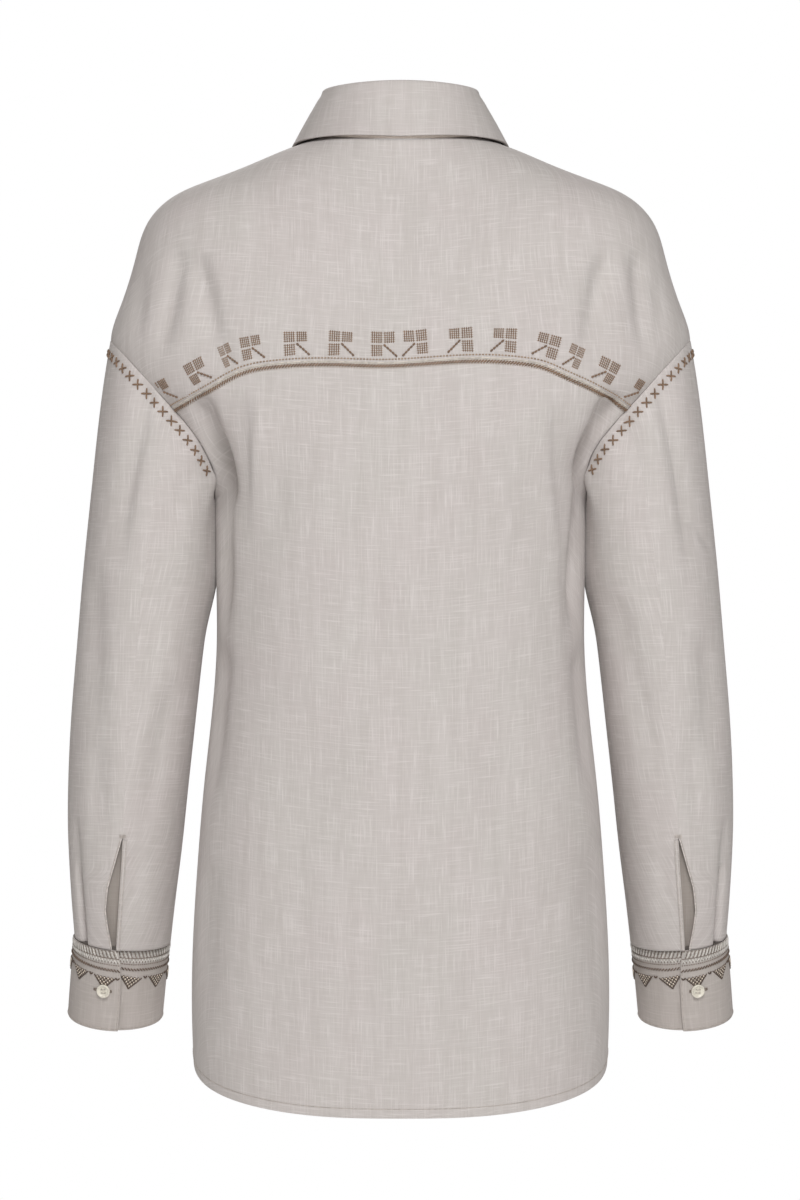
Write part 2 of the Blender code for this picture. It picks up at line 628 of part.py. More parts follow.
def slit_turns(down, side):
    """Turns of the over and under edges of the slit at a distance down the sleeve."""
    z = smooth_sleeve(90.0, down, side)[..., 2]
    table = np.asarray(SLIT)
    over = np.interp(-z, -table[:, 0], table[:, 1])
    under = np.interp(-z, -table[:, 0], table[:, 2])
    return over, under


def build_sleeve(name, side, finish):
    rows = []
    columns = np.arange(0, 361, ARMHOLE_STEP) / 360
    for down in SLEEVE_ROWS + SLIT_ROWS + (SLEEVE_LENGTH - SEAM / 2,):
        over, under = slit_turns(down, side)
        turns = over - columns * (360 - (under - over))
        rows.append(sleeve(turns, down, side))
    grid = np.array(rows)
    cloth(name, grid, grid.mean(axis=1), CLOTH, finish)


def build_binding(name, side, finish):
    """A narrow strip folded over the under edge of the slit, lying on the sleeve."""
    rows = []
    for down in (SLEEVE_ROWS[-1] + 8,) + SLIT_ROWS + (SLEEVE_LENGTH - SEAM * 2,):
        under = slit_turns(down, side)[1]
        width = math.degrees(BINDING_WIDTH / WRIST_RADIUS)
        turns = under + np.array([0.0, 0.5, 1.0]) * width
        rows.append(sleeve(turns, down, side, SEAM + BINDING_CLOTH))
    grid = np.array(rows)
    core = grid.mean(axis=1) - (0, 40, 0)
    cloth(name, grid, core, BINDING_CLOTH, finish)


def build_cuff(name, side, finish):
    sweep = np.linspace(0, 360 + CUFF_UNDERLAP, 33)
    turn = CUFF_EDGE_TURN - sweep
    inwards = LAP_DEPTH * smooth((sweep - 240) / 90)
    rows = [cuff(turn, fraction, side, inwards) for fraction in (0.0, 0.3, 0.65, 1.0)]
    grid = np.array(rows)
    cloth(name, grid, grid.mean(axis=1), FOLDED_CLOTH, finish)


def build_cuff_button(name, side, finish):
    turn = CUFF_EDGE_TURN - CUFF_BUTTON_FROM_EDGE
    centre = cuff(turn, CUFF_BUTTON_DOWN, side)
    round_cuff = cuff(turn + 2, CUFF_BUTTON_DOWN, side) - cuff(turn - 2, CUFF_BUTTON_DOWN, side)
    down_cuff = cuff(turn, CUFF_BUTTON_DOWN + 0.1, side) - cuff(turn, CUFF_BUTTON_DOWN - 0.1, side)
    normal = np.cross(down_cuff, round_cuff) * side
    button(name, centre, normal, BUTTON_RADIUS, finish)


def build_front_buttons(finish, band_lift):
    for number, below in enumerate(FRONT_BUTTONS_BELOW_NECK, 2):
        z = BODY_RINGS[0][5] - below
        down = solve_down(np.array([180.0]), lambda x, turn: np.full(np.shape(x), z))[0]
        centre = body(180.0, down, band_lift)
        button(f"front_button_{number}", centre, body_normal(180.0, down), FRONT_BUTTON_RADIUS, finish)
    foot = smooth_body(180.0, 0.0)
    top = stand_ring(180.0)
    middle = foot + (top - foot) * 0.5
    normal = np.cross(top - foot, (1.0, 0.0, 0.0))
    button("front_button_1", middle, normal * np.sign(-normal[1]), FRONT_BUTTON_RADIUS, finish)


def main():
    for existing in list(bpy.data.objects):
        bpy.data.objects.remove(existing)
    linen = material("linen", LINEN_COLOUR, 0.9)
    collar_linen = material("collar_linen", COLLAR_COLOUR, 0.9)
    cream = material("cream_button", CREAM_COLOUR, 0.35)
    build_yoke(linen)
    build_back(linen)
    build_front("front_left", 1, linen)
    build_front("front_right", -1, linen)
    band_lift = build_band(linen)
    build_stand(collar_linen)
    build_leaf(collar_linen)
    for word, side in (("left", 1), ("right", -1)):
        build_sleeve(f"sleeve_{word}", side, linen)
        build_binding(f"binding_{word}", side, linen)
        build_cuff(f"cuff_{word}", side, linen)
        build_cuff_button(f"cuff_button_{word}", side, cream)
    build_front_buttons(cream, band_lift)


main()
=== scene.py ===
"""The looks of an embroidered linen shirt of the vyshyvanka kind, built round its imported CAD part.

The shirt faces -Y, its back faces +Y, and the wearer's left is +X. Sizes are in millimetres where
they are named here, and become metres when a mesh is made.
"""

import json
import math

import bpy
import numpy as np
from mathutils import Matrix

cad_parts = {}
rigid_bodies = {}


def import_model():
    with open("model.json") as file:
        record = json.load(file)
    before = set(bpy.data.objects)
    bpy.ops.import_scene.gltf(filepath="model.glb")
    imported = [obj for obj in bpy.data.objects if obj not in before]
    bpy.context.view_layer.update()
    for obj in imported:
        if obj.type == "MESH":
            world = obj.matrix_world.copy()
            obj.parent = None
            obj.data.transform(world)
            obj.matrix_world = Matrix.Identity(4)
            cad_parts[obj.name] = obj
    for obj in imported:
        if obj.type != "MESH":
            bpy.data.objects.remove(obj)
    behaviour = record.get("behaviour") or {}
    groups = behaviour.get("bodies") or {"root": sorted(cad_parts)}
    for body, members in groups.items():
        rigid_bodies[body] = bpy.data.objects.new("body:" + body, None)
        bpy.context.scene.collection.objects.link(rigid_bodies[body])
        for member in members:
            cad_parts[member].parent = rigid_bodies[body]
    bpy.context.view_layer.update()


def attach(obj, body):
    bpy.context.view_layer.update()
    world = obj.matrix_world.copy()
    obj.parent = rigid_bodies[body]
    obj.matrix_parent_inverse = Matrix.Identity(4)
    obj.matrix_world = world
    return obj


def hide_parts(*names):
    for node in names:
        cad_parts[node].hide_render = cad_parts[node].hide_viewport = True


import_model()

# --------------------
# The camera looks level at the back of the shirt from four metres away, through a long lens, so
# that the whole shirt is drawn with hardly any perspective.


def in_scene(name, data):
    """A new object in the scene, from a mesh, a light or a camera."""
    made = bpy.data.objects.new(name, data)
    bpy.context.scene.collection.objects.link(made)
    return made


camera = in_scene("camera", bpy.data.cameras.new("camera"))
camera.location = (0.0004, 4.0, -0.365)
camera.rotation_euler = (math.radians(90), 0.0, math.radians(180))
camera.data.lens = 150.0
camera.data.sensor_width = 36.0
camera.data.clip_end = 50.0
bpy.context.scene.camera = camera

# --------------------
# The back yoke is one piece of plain-woven linen. It goes from the neck over both shoulders, past
# the top of the armholes, and is sewn to the fronts there and to the back along its lower edge.

MM = 0.001
LINEN = 0.7  # one layer of cloth
DOUBLE_LINEN = 1.6  # two layers with a soft interlining, in the collar, stand and cuffs
SEAM = 0.3  # between the edges of two pieces that are sewn together

# Rings of the body from the neck seam to below the hem. Columns: half width, z at the sides,
# depth behind, z at centre back, depth in front, z at centre front, squareness of the ring.
BODY_RINGS = np.array((
    (65, 4, 58, 0, 68, -58, 2),
    (89, -4, 65, -24, 74, -74, 2.1),
    (123, -18.3, 75, -52, 83, -97, 2.2),
    (156, -31, 84, -80, 92, -121, 2.3),
    (185, -45, 92, -107, 99, -145, 2.35),
    (202.3, -64, 97, -131, 104, -165, 2.4),
    (212, -93, 100.5, -152, 108, -186, 2.4),
    (224, -131, 102.5, -170, 111, -206, 2.4),
    (231.5, -158, 103.5, -184, 112.5, -220, 2.4),
    (226, -181, 104.5, -200, 113, -233, 2.4),
    (196, -214, 105.5, -226, 113.5, -252, 2.35),
    (165, -247, 106.5, -253, 114, -270, 2.3),
    (151, -272, 107, -274, 114, -284, 2.3),
    (147.9, -300, 107, -300, 114, -304, 2.3),
    (147.4, -343, 106.5, -343, 113.5, -343, 2.3),
    (146.9, -400, 105.5, -400, 112, -400, 2.3),
    (151, -458, 105, -458, 111, -458, 2.3),
    (157.2, -515, 105, -515, 110.5, -515, 2.3),
    (162, -573, 105.5, -573, 110, -573, 2.3),
    (165.6, -631, 106, -631, 110, -631, 2.3),
    (166.8, -688, 106.5, -688, 110.5, -688, 2.3),
    (165.5, -731, 107, -731, 111, -731, 2.3),
    (163, -772, 107.5, -772, 111, -772, 2.3),
))
# Folds of the cloth, each a soft trough, or a ridge where the depth is negative. Columns: x and z
# at the top, x and z at the bottom, widths of its slopes to the wearer's left and right, depth.
BACK_FOLDS = (
    # from the armpits, with the flatter cloth beside them
    (162, -199, 131, -302, 6, 8.5, 14.5),
    (147, -228, 143, -410, 6, 8, 17.5),
    (111, -196, 116, -330, 3.5, 12, -2.4),
    (-172, -199, -139, -280, 8.5, 6, 14.5),
    (-154.5, -228, -137, -410, 8, 6, 17.5),
    (-113, -196, -118, -330, 12, 3.5, -2.4),
    (117, -192, 112, -300, 3.5, 11, -1.8),
    (-119, -262, -126, -420, 10, 3, -1.6),
    # over the shoulders
    (172, -82, 190, -184, 8, 7, 5.5),
    (162, -86, 137, -190, 10, 7, 6),
    (206, -100, 209, -168, 7, 7, 2.6),
    (-163, -86, -140, -188, 7.5, 10, 6.5),
    (-186, -84, -192, -184, 7, 8, 5.2),
    (-203, -104, -206, -172, 7, 7, 2.4),
    # down the sides
    (142, -388, 156, -540, 8, 10, 7.5),
    (-143, -392, -157, -536, 10, 8, 8),
    (150, -560, 158, -720, 9, 14, 3.2),
    (-152, -545, -157, -705, 14, 9, 3),
    # wide soft ones where the back hangs free
    (56, -430, 98, -730, 30, 26, 3.4),
    (-48, -300, -94, -660, 26, 30, 3.2),
    (24, -560, 30, -766, 22, 22, 2.2),
    (-30, -600, -58, -766, 22, 22, 2.4),
    # small sharp ones
    (36, -196, 72, -203, 2.6, 3.4, 0.7),
    (-60, -198, -88, -226, 3, 4, 0.6),
    (98, -262, 88, -316, 3, 3.6, 0.8),
    (-98, -300, -84, -352, 3, 4, 0.7),
    (120, -640, 96, -672, 3.2, 4.4, 0.8),
    (-118, -590, -100, -640, 3.2, 4.4, 0.8),
)
FRONT_FOLDS = (
    (143, -206, 117, -356, 13, 9, 8.5),
    (-140, -204, -119, -350, 9, 13, 8.5),
    (170, -88, 156, -192, 9, 12, 4.6),
    (-172, -86, -155, -188, 12, 9, 4.8),
    (196, -100, 200, -176, 7, 7, 2.6),
    (-198, -98, -203, -172, 7, 7, 2.6),
    (96, -300, 84, -590, 22, 26, 4.4),
    (-104, -310, -88, -620, 26, 22, 4.4),
    (140, -398, 152, -550, 12, 10, 6),
    (-142, -390, -151, -540, 10, 12, 6),
    (52, -420, 60, -748, 20, 20, 2.6),
    (-56, -470, -48, -748, 20, 20, 2.6),
    (60, -236, 88, -258, 3, 4, 0.8),
    (-66, -262, -92, -300, 3, 4, 0.8),
)


def spline(knots, values, at):
    """Reads a natural cubic spline through the rows of values at each place in at."""
    gaps = np.diff(knots)
    slopes = np.diff(values, axis=0) / gaps[:, None]
    matrix = np.eye(len(knots))
    right = np.zeros_like(values)
    for i in range(1, len(knots) - 1):
        matrix[i, i - 1 : i + 2] = gaps[i - 1], 2 * (gaps[i - 1] + gaps[i]), gaps[i]
        right[i] = 6 * (slopes[i] - slopes[i - 1])
    bends = np.linalg.solve(matrix, right)
    at = np.asarray(at, float)
    i = np.clip(np.searchsorted(knots, at, side="right") - 1, 0, len(gaps) - 1)
    step, gap = (at - knots[i])[..., None], gaps[i][..., None]
    return (
        values[i]
        + step * (slopes[i] - gap * (2 * bends[i] + bends[i + 1]) / 6)
        + step**2 * bends[i] / 2
        + step**3 * (bends[i + 1] - bends[i]) / (6 * gap)
    )


def smooth(value):
    """0 below 0, 1 above 1, with a soft rise between."""
    value = np.clip(value, 0.0, 1.0)
    return value * value * (3 - 2 * value)


def run_of(points):
    """Distance along a path of points, starting at 0."""
    return np.append(0.0, np.cumsum(np.linalg.norm(np.diff(points, axis=0), axis=-1)))


def same_shape(*values):
    """The values as arrays of one shape."""
    return np.broadcast_arrays(*(np.asarray(value, float) for value in values))


def unit(vectors):
    return vectors / np.linalg.norm(vectors, axis=-1, keepdims=True)


FOLD_START, FOLD_END = 0.22, 0.45  # shares of its length over which a fold deepens and dies out


def fold(across, along, left_width, right_width, depth):
    """Height of one fold at a distance across it and a fraction along its length."""
    width = np.where(across < 0, left_width, right_width)
    ends = smooth(along / FOLD_START) * smooth((1.0 - along) / FOLD_END)
    return -depth * np.exp(-((across / width) ** 2)) * ends


BODY_KNOTS = run_of(BODY_RINGS[:, :2])
FINE_DOWN = np.linspace(0.0, BODY_KNOTS[-1], 1200)
FINE_RINGS = spline(BODY_KNOTS, BODY_RINGS, FINE_DOWN)


def ring_at(down):
    """The columns of the body ring at a distance down the side line from the neck seam."""
    return [np.interp(down, FINE_DOWN, column) for column in FINE_RINGS.T]


def smooth_body(turn, down):
    """The body surface without folds. turn is in degrees round from centre back."""
    half, z_side, back, z_back, front, z_front, square = ring_at(down)
    sine, cosine = np.sin(np.radians(turn)), np.cos(np.radians(turn))
    behind = cosine >= 0
    depth = np.where(behind, back, front)
    radius = ((np.abs(sine) / half) ** square + (np.abs(cosine) / depth) ** square) ** (-1 / square)
    z = z_side + (np.where(behind, z_back, z_front) - z_side) * cosine**2
    return np.stack(same_shape(radius * sine, radius * cosine, z), axis=-1)


def body_normal(turn, down):
    """The way out of the body surface."""
    down = np.maximum(down, 2.0)  # above the neck seam there is no cloth to measure from
    round_body = smooth_body(turn + 0.5, down) - smooth_body(turn - 0.5, down)
    down_body = smooth_body(turn, down + 2.0) - smooth_body(turn, down - 2.0)
    return unit(np.cross(round_body, down_body))


# The armhole is an oval round the side of the body, widest where the yoke seam meets it.
ARMHOLE_WIDEST = -214.0  # its z there
ARMHOLE_ABOVE, ARMHOLE_BELOW = 56.0, 70.0  # its reach from there up and down
ARMHOLE_SPREAD = 16.5  # degrees round the body, to each side of the side line
ARMHOLE_ROUNDING = 0.9  # 1 is an ellipse, and less is squarer
LOWER_BACK_SPREAD = 1.0  # degrees by which its lower back lies further in
SIDE_MM_PER_DEGREE = 2.6  # length of one degree round the body at its side seams
HELD_WIDTH = 9.0  # folds die out over this width beside the seams that hold the cloth


def held(turn, down):
    """0 along the back of the armhole seam and the side seam under it, and 1 away from them."""
    height = ring_at(down)[1] - ARMHOLE_WIDEST
    share = height / np.where(height > 0, ARMHOLE_ABOVE, ARMHOLE_BELOW)
    spread = ARMHOLE_SPREAD * np.clip(1 - share**2, 0, 1) ** (ARMHOLE_ROUNDING / 2)
    from_seam = (90.0 - spread - np.abs(turn)) * SIDE_MM_PER_DEGREE
    return np.where(np.abs(turn) < 90, smooth(from_seam / HELD_WIDTH), 1.0)


def body(turn, down, lift=0.0):
    """The body surface with its folds, moved outwards by lift."""
    turn, down = same_shape(turn, down)
    points = smooth_body(turn, down)
    relief = np.zeros(turn.shape)
    for folds, sign in ((BACK_FOLDS, 1), (FRONT_FOLDS, -1)):
        facing = smooth((sign * np.cos(np.radians(turn)) - 0.05) / 0.25)
        for x_top, z_top, x_low, z_low, left_width, right_width, depth in folds:
            length = math.hypot(x_low - x_top, z_low - z_top)
            way = ((x_low - x_top) / length, (z_low - z_top) / length)
            from_top = (points[..., 0] - x_top, points[..., 2] - z_top)
            along = (from_top[0] * way[0] + from_top[1] * way[1]) / length
            across = from_top[0] * way[1] - from_top[1] * way[0]
            relief += facing * fold(across, along, left_width, right_width, depth)
    relief *= held(turn, down)
    return points + body_normal(turn, down) * (relief + lift)[..., None]


# The cloth lies flat as the pattern was cut: u runs round the body and v down it, both in metres,
# so that the weave keeps its scale and its grain. The back is laid out from its own middle line,
# and the fronts from centre front.
FLAT_TURNS = np.linspace(0.0, 180.0, 181)
FLAT_POINTS = smooth_body(FLAT_TURNS[None, :], FINE_DOWN[::4, None])
ROUND_STEPS = np.linalg.norm(np.diff(FLAT_POINTS, axis=1), axis=-1)
FROM_BACK = np.pad(np.cumsum(ROUND_STEPS, axis=1), ((0, 0), (1, 0)))
FROM_FRONT = FROM_BACK - FROM_BACK[:, -1:]
DOWN_STEPS = np.linalg.norm(np.diff(FLAT_POINTS, axis=0), axis=-1)


def straight_down(across):
    """Distances down the cloth, with the part of each step that goes sideways taken out."""
    sideways = np.diff(across, axis=0)
    steps = np.sqrt(np.maximum(DOWN_STEPS**2 - sideways**2, (0.2 * DOWN_STEPS) ** 2))
    return np.pad(np.cumsum(steps, axis=0), ((1, 0), (0, 0)))


BACK_LAYOUT = FROM_BACK, straight_down(FROM_BACK)
FRONT_LAYOUT = FROM_FRONT, straight_down(FROM_FRONT)


def read_table(table, turn, down):
    """Reads a table of FLAT_TURNS columns and every fourth FINE_DOWN row between its values."""
    column = np.clip(np.abs(turn), 0, 179.999)
    row = np.clip(down / (FINE_DOWN[4] - FINE_DOWN[0]), 0, len(table) - 1.001)
    i, j = row.astype(int), column.astype(int)
    a, b = row - i, column - j
    left, right = (table[i, k] * (1 - a) + table[i + 1, k] * a for k in (j, j + 1))
    return left * (1 - b) + right * b


def in_metres(u, v):
    """A flat layout in metres, from its distances in millimetres."""
    return np.stack(same_shape(u, v), axis=-1) * MM


def body_flat(turn, down, layout):
    """(u, v) in metres of places on the body in one of the two layouts."""
    turn, down = same_shape(turn, down)
    across, along = (read_table(table, turn, down) for table in layout)
    return in_metres(across * np.sign(turn), -along)


SHOULDER_SEAM_TURN = -45  # where the front shoulder seam meets the armhole, in degrees round it

# The yoke seam, as x and z of the places that it passes through between the two armholes.
YOKE_SEAM = np.array((
    (-151, -200), (-129, -190.5), (-109.5, -182.6), (-98.5, -180.6), (-70, -178.4),
    (-21, -180.4), (15, -182.2), (48, -181.2), (63, -181), (99, -182.8),
    (125.5, -188.2), (147.5, -199.6),
))


def down_at(z):
    """Distance down the body at which its side line has this z."""
    return np.interp(-np.asarray(z, float), -FINE_RINGS[:, 1], FINE_DOWN)


def armhole(turn_round):
    """(turn, down) on the body of the left armhole. 0 is its top, 90 its back."""
    angle = np.radians(np.asarray(turn_round, float))
    sine, cosine = np.sin(angle), np.cos(angle)
    spread = ARMHOLE_SPREAD * np.sign(sine) * np.abs(sine) ** ARMHOLE_ROUNDING
    spread += LOWER_BACK_SPREAD * np.clip(-3 * cosine, 0, 1) * np.clip(sine, 0, 1)
    reach = np.where(cosine >= 0, ARMHOLE_ABOVE, ARMHOLE_BELOW)
    return 90.0 - spread, down_at(ARMHOLE_WIDEST + reach * cosine)


YOKE_CORNER = armhole(90)
YOKE_CORNER_POINT = smooth_body(*YOKE_CORNER)
YOKE_ENDS = YOKE_CORNER_POINT[[0, 2]] * ((-1, 1), (1, 1))
YOKE_SEAM = np.concatenate([YOKE_ENDS[:1], YOKE_SEAM, YOKE_ENDS[1:]])


def solve_down(turn, wanted_z):
    """Distance down the body at which wanted_z(x, turn) is met, for each turn."""
    low, high = np.zeros(np.shape(turn)), np.full(np.shape(turn), BODY_KNOTS[-1])
    for _ in range(30):
        middle = (low + high) / 2
        points = smooth_body(turn, middle)
        above = points[..., 2] > wanted_z(points[..., 0], turn)
        low, high = np.where(above, middle, low), np.where(above, high, middle)
    return (low + high) / 2


def yoke_seam_z(x, turn):
    """z of the yoke seam at an x. It doesn't change with turn."""
    return spline(YOKE_SEAM[:, 0], YOKE_SEAM[:, 1:], np.clip(x, *YOKE_SEAM[[0, -1], 0]))[..., 0]


def outward(points, core):
    """The way out of the cloth at each point of a grid. core is inside the shirt."""
    normals = unit(np.cross(np.gradient(points, axis=1), np.gradient(points, axis=0)))
    return normals * np.sign((normals * (points - core)).sum())


def turned_under(points, flat, core, axis, end, reach, depth):
    """A grid of cloth with one edge rolled inwards and carried on below the top, as at a seam, or
    back under itself where reach is negative, as at a hem. end is 0 or -1, of that axis."""
    before = 1 if end == 0 else -2
    edge, flat_edge = (np.take(grid, end, axis) for grid in (points, flat))
    onwards = unit(edge - np.take(points, before, axis))
    flat_onwards = unit(flat_edge - np.take(flat, before, axis))
    inwards = -np.take(outward(points, core), end, axis)
    roll = depth * 0.35
    profile = np.array(((0, 0), (roll * 0.7, roll * 0.3), (roll, roll), (roll + reach * 0.05, depth * 0.9),
                        (reach * 0.3, depth), (reach * 0.65, depth), (reach, depth)))
    added = [edge + onwards * out + inwards * below for out, below in profile[1:]]
    flat_added = [flat_edge + flat_onwards * length * MM for length in run_of(profile)[1:]]
    grids = []
    for grid, rows in ((points, added), (flat, flat_added)):
        parts = [grid, np.stack(rows, axis=axis)]
        if end == 0:
            parts = [np.flip(parts[1], axis), grid]
        grids.append(np.concatenate(parts, axis=axis))
    return grids


def cloth(name, points, flat, core, thickness, finish):
    """A wall of cloth inwards from a grid of outer points, with its flat layout as its UV map.
    Where the two ends of a row meet, they become one."""
    corners = np.arange(points[..., 0].size).reshape(points.shape[:2])
    quads = np.stack([corners[:-1, :-1], corners[:-1, 1:], corners[1:, 1:], corners[1:, :-1]], -1)
    quads = quads.reshape(-1, 4)
    normals = np.cross(np.gradient(points, axis=1), np.gradient(points, axis=0))
    if (normals * (points - core)).sum() < 0:
        quads = quads[:, ::-1]
    joined = corners.copy()
    meet = np.linalg.norm(points[:, 0] - points[:, -1], axis=-1) < 0.01
    joined[meet, -1] = joined[meet, 0]
    kept, faces = np.unique(joined.ravel()[quads], return_inverse=True)
    mesh = bpy.data.meshes.new(name)
    mesh.from_pydata((points.reshape(-1, 3)[kept] * MM).tolist(), [], faces.reshape(-1, 4).tolist())
    layout = mesh.uv_layers.new(name="cut")
    layout.data.foreach_set("uv", flat.reshape(-1, 2)[quads.ravel()].astype(np.float32).ravel())
    mesh.materials.append(finish)
    mesh.shade_smooth()
    piece = in_scene(name, mesh)
    wall = piece.modifiers.new("wall", "SOLIDIFY")
    wall.thickness, wall.offset = thickness * MM, -1.0
    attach(piece, "root")
    return piece


# Linen is woven from uneven flax yarn. Its thick yarns, or slubs, show as short fine streaks along
# and across the cloth, and its colour wanders a little between rosy and greenish grey.
YARN = 0.62  # the width of two yarns, after which a plain weave repeats
SLUB_WIDTH, SLUB_LENGTH = 1.15, 26.0
LINEN_LIGHT = (0.660, 0.622, 0.606, 1.0)
LINEN_DARK = (0.520, 0.482, 0.462, 1.0)
LINEN_ROSY = (0.600, 0.540, 0.536, 1.0)
LINEN_GREENISH = (0.572, 0.560, 0.528, 1.0)


def node(tree, kind, *links, **settings):
    """A shader or geometry node with its inputs, each (input, value or socket), and settings."""
    made = tree.nodes.new(kind)
    for key, value in settings.items():
        setattr(made, key, value)
    for key, value in links:
        if isinstance(value, bpy.types.NodeSocket):
            tree.links.new(value, made.inputs[key])
        else:
            made.inputs[key].default_value = value
    return made


def maths(tree, operation, *values):
    """A Math node, or a chain of them where a value is itself (operation, value, value)."""
    values = [maths(tree, *value) if isinstance(value, tuple) else value for value in values]
    return node(tree, "ShaderNodeMath", *enumerate(values), operation=operation).outputs[0]


def mixed(tree, share, first, second, **settings):
    """A colour between two others. The Mix node keeps its colours in sockets 6 and 7."""
    made = node(tree, "ShaderNodeMix", (0, share), (6, first), (7, second), data_type="RGBA",
                **settings)
    return made.outputs[2]


def ranged(tree, value, low, high, to_low=0.0, to_high=1.0):
    """A value moved from one range to another, and kept inside it."""
    limits = (("From Min", low), ("From Max", high), ("To Min", to_low), ("To Max", to_high))
    return node(tree, "ShaderNodeMapRange", ("Value", value), *limits).outputs[0]


def noise(tree, place, scale, detail, **more):
    """Noise at a place. Names of more of its inputs are in lower case here."""
    links = [(label.capitalize(), value) for label, value in more.items()]
    return node(tree, "ShaderNodeTexNoise", ("Vector", place), ("Scale", scale),
                ("Detail", detail), *links).outputs[0]


def new_group(name, inputs, outputs):
    """An empty shader group with its named sockets: (name, socket type, value)."""
    tree = bpy.data.node_groups.new(name, "ShaderNodeTree")
    for direction, sockets in (("INPUT", inputs), ("OUTPUT", outputs)):
        for label, kind, value in sockets:
            socket = tree.interface.new_socket(label, in_out=direction, socket_type=kind)
            if value is not None:
                socket.default_value = value
    return tree, tree.nodes.new("NodeGroupInput").outputs, tree.nodes.new("NodeGroupOutput").inputs


NUMBER, COLOUR, VECTOR = "NodeSocketFloat", "NodeSocketColor", "NodeSocketVector"
weave, given, given_out = new_group(
    "linen weave",
    [("Layout", VECTOR, None), ("Light", COLOUR, LINEN_LIGHT), ("Dark", COLOUR, LINEN_DARK),
     ("Rosy", COLOUR, LINEN_ROSY), ("Greenish", COLOUR, LINEN_GREENISH),
     ("Yarn", NUMBER, YARN), ("Slub width", NUMBER, SLUB_WIDTH),
     ("Slub length", NUMBER, SLUB_LENGTH), ("Slub strength", NUMBER, 1.0)],
    [("Colour", COLOUR, None), ("Height", NUMBER, None)],
)


def streaks(across_scale, along_scale, turned, detail, offset):
    """Noise drawn out along the warp, or along the weft where it is turned."""
    scale = node(weave, "ShaderNodeCombineXYZ", (int(turned), across_scale),
                 (int(not turned), along_scale))
    place = node(weave, "ShaderNodeVectorMath", (0, given["Layout"]), (1, scale.outputs[0]),
                 (2, offset), operation="MULTIPLY_ADD")
    return noise(weave, place.outputs[0], 1.0, detail, roughness=0.6)


slub_across = maths(weave, "DIVIDE", 1000.0, given["Slub width"])
slub_along = maths(weave, "DIVIDE", 1000.0, given["Slub length"])
warp = streaks(slub_across, slub_along, False, 1.5, (3.1, 7.7, 0.0))
weft = streaks(slub_across, slub_along, True, 1.5, (11.3, 2.9, 4.0))
bands = streaks(maths(weave, "DIVIDE", slub_across, 7.0), maths(weave, "DIVIDE", slub_along, 4.0),
                False, 2.0, (1.7, 5.3, 9.0))
clouds = streaks(16.0, 9.0, False, 3.0, (8.2, 1.4, 2.0))
slubs = maths(weave, "ADD", warp, weft)
places = node(weave, "ShaderNodeSeparateXYZ", (0, given["Layout"])).outputs
yarns = [("SINE", ("DIVIDE", ("MULTIPLY", place, 1000.0 * math.tau), given["Yarn"]))
         for place in (places[0], places[1])]
checks = maths(weave, "MULTIPLY", *yarns)  # each yarn goes over one and under the next
thick = ranged(weave, maths(weave, "MAXIMUM", warp, weft), 0.56, 0.80)
share = ("ADD", ("MULTIPLY", thick, 0.75), ranged(weave, slubs, 0.7, 1.3, 0.0, 0.5))
share = ("ADD", ("MULTIPLY", ("SUBTRACT", share, 0.45), given["Slub strength"]), 0.5)
share = ("ADD", share, ("MULTIPLY", checks, 0.05))
share = maths(weave, "ADD", share, ranged(weave, bands, 0.3, 0.7, -0.18, 0.18))
tint = mixed(weave, ranged(weave, clouds, 0.38, 0.62), given["Rosy"], given["Greenish"])
tone = mixed(weave, share, given["Dark"], given["Light"])
weave.links.new(mixed(weave, 0.35, tone, mixed(weave, 0.5, tone, tint)), given_out["Colour"])
weave.links.new(maths(weave, "ADD", ("MULTIPLY", checks, 0.35), slubs), given_out["Height"])


def new_material(name, values):
    """A material whose shader has these values, and its node tree."""
    made = bpy.data.materials.new(name)
    made.use_nodes = True
    for label, value in values.items():
        made.node_tree.nodes["Principled BSDF"].inputs[label].default_value = value
    return made, made.node_tree


def feed_shader(tree, colour, height, strength, distance):
    """Gives a material's shader its colour and its fine relief."""
    shader = tree.nodes["Principled BSDF"]
    tree.links.new(colour, shader.inputs["Base Color"])
    bump = node(tree, "ShaderNodeBump", ("Height", height), ("Strength", strength),
                ("Distance", distance))
    tree.links.new(bump.outputs[0], shader.inputs["Normal"])


def linen(name, tint=(1.0, 1.0, 1.0), slub_strength=1.0):
    """Matt linen. tint darkens, lightens or warms the whole cloth."""
    made, tree = new_material(name, {"Roughness": 0.88, "Specular IOR Level": 0.25,
                                     "Sheen Weight": 0.12, "Sheen Roughness": 0.5})
    layout = node(tree, "ShaderNodeUVMap", uv_map="cut").outputs[0]
    colours = {"Light": LINEN_LIGHT, "Dark": LINEN_DARK, "Rosy": LINEN_ROSY,
               "Greenish": LINEN_GREENISH}
    tinted = [(label, [c * s for c, s in zip(colour, (*tint, 1.0))])
              for label, colour in colours.items()]
    pattern = node(tree, "ShaderNodeGroup", ("Layout", layout), ("Slub strength", slub_strength),
                   *tinted, node_tree=weave)
    feed_shader(tree, pattern.outputs["Colour"], pattern.outputs["Height"], 0.35, 0.00035)
    return made


body_linen = linen("body linen")

YOKE_COLUMNS_EACH_SIDE = 30
YOKE_ROWS = 92
LAP = 6.0  # how far the cloth is carried on below the neighbouring piece
LAP_DEPTH = 1.1
NECK_DIP = 1.7  # how far the yoke's neck edge lies below the neck line at centre back


def body_axis(points):
    """A point on the upright middle line of the body, for each row of a grid."""
    z = points[..., 2].mean(axis=1)[:, None]
    return np.stack([z * 0, z * 0, z], axis=-1)


def spread(count):
    """Fractions from -1 to 1, closer together towards the ends, where the body turns away."""
    return np.arctan(1.3 * np.linspace(-1, 1, count)) / math.atan(1.3)


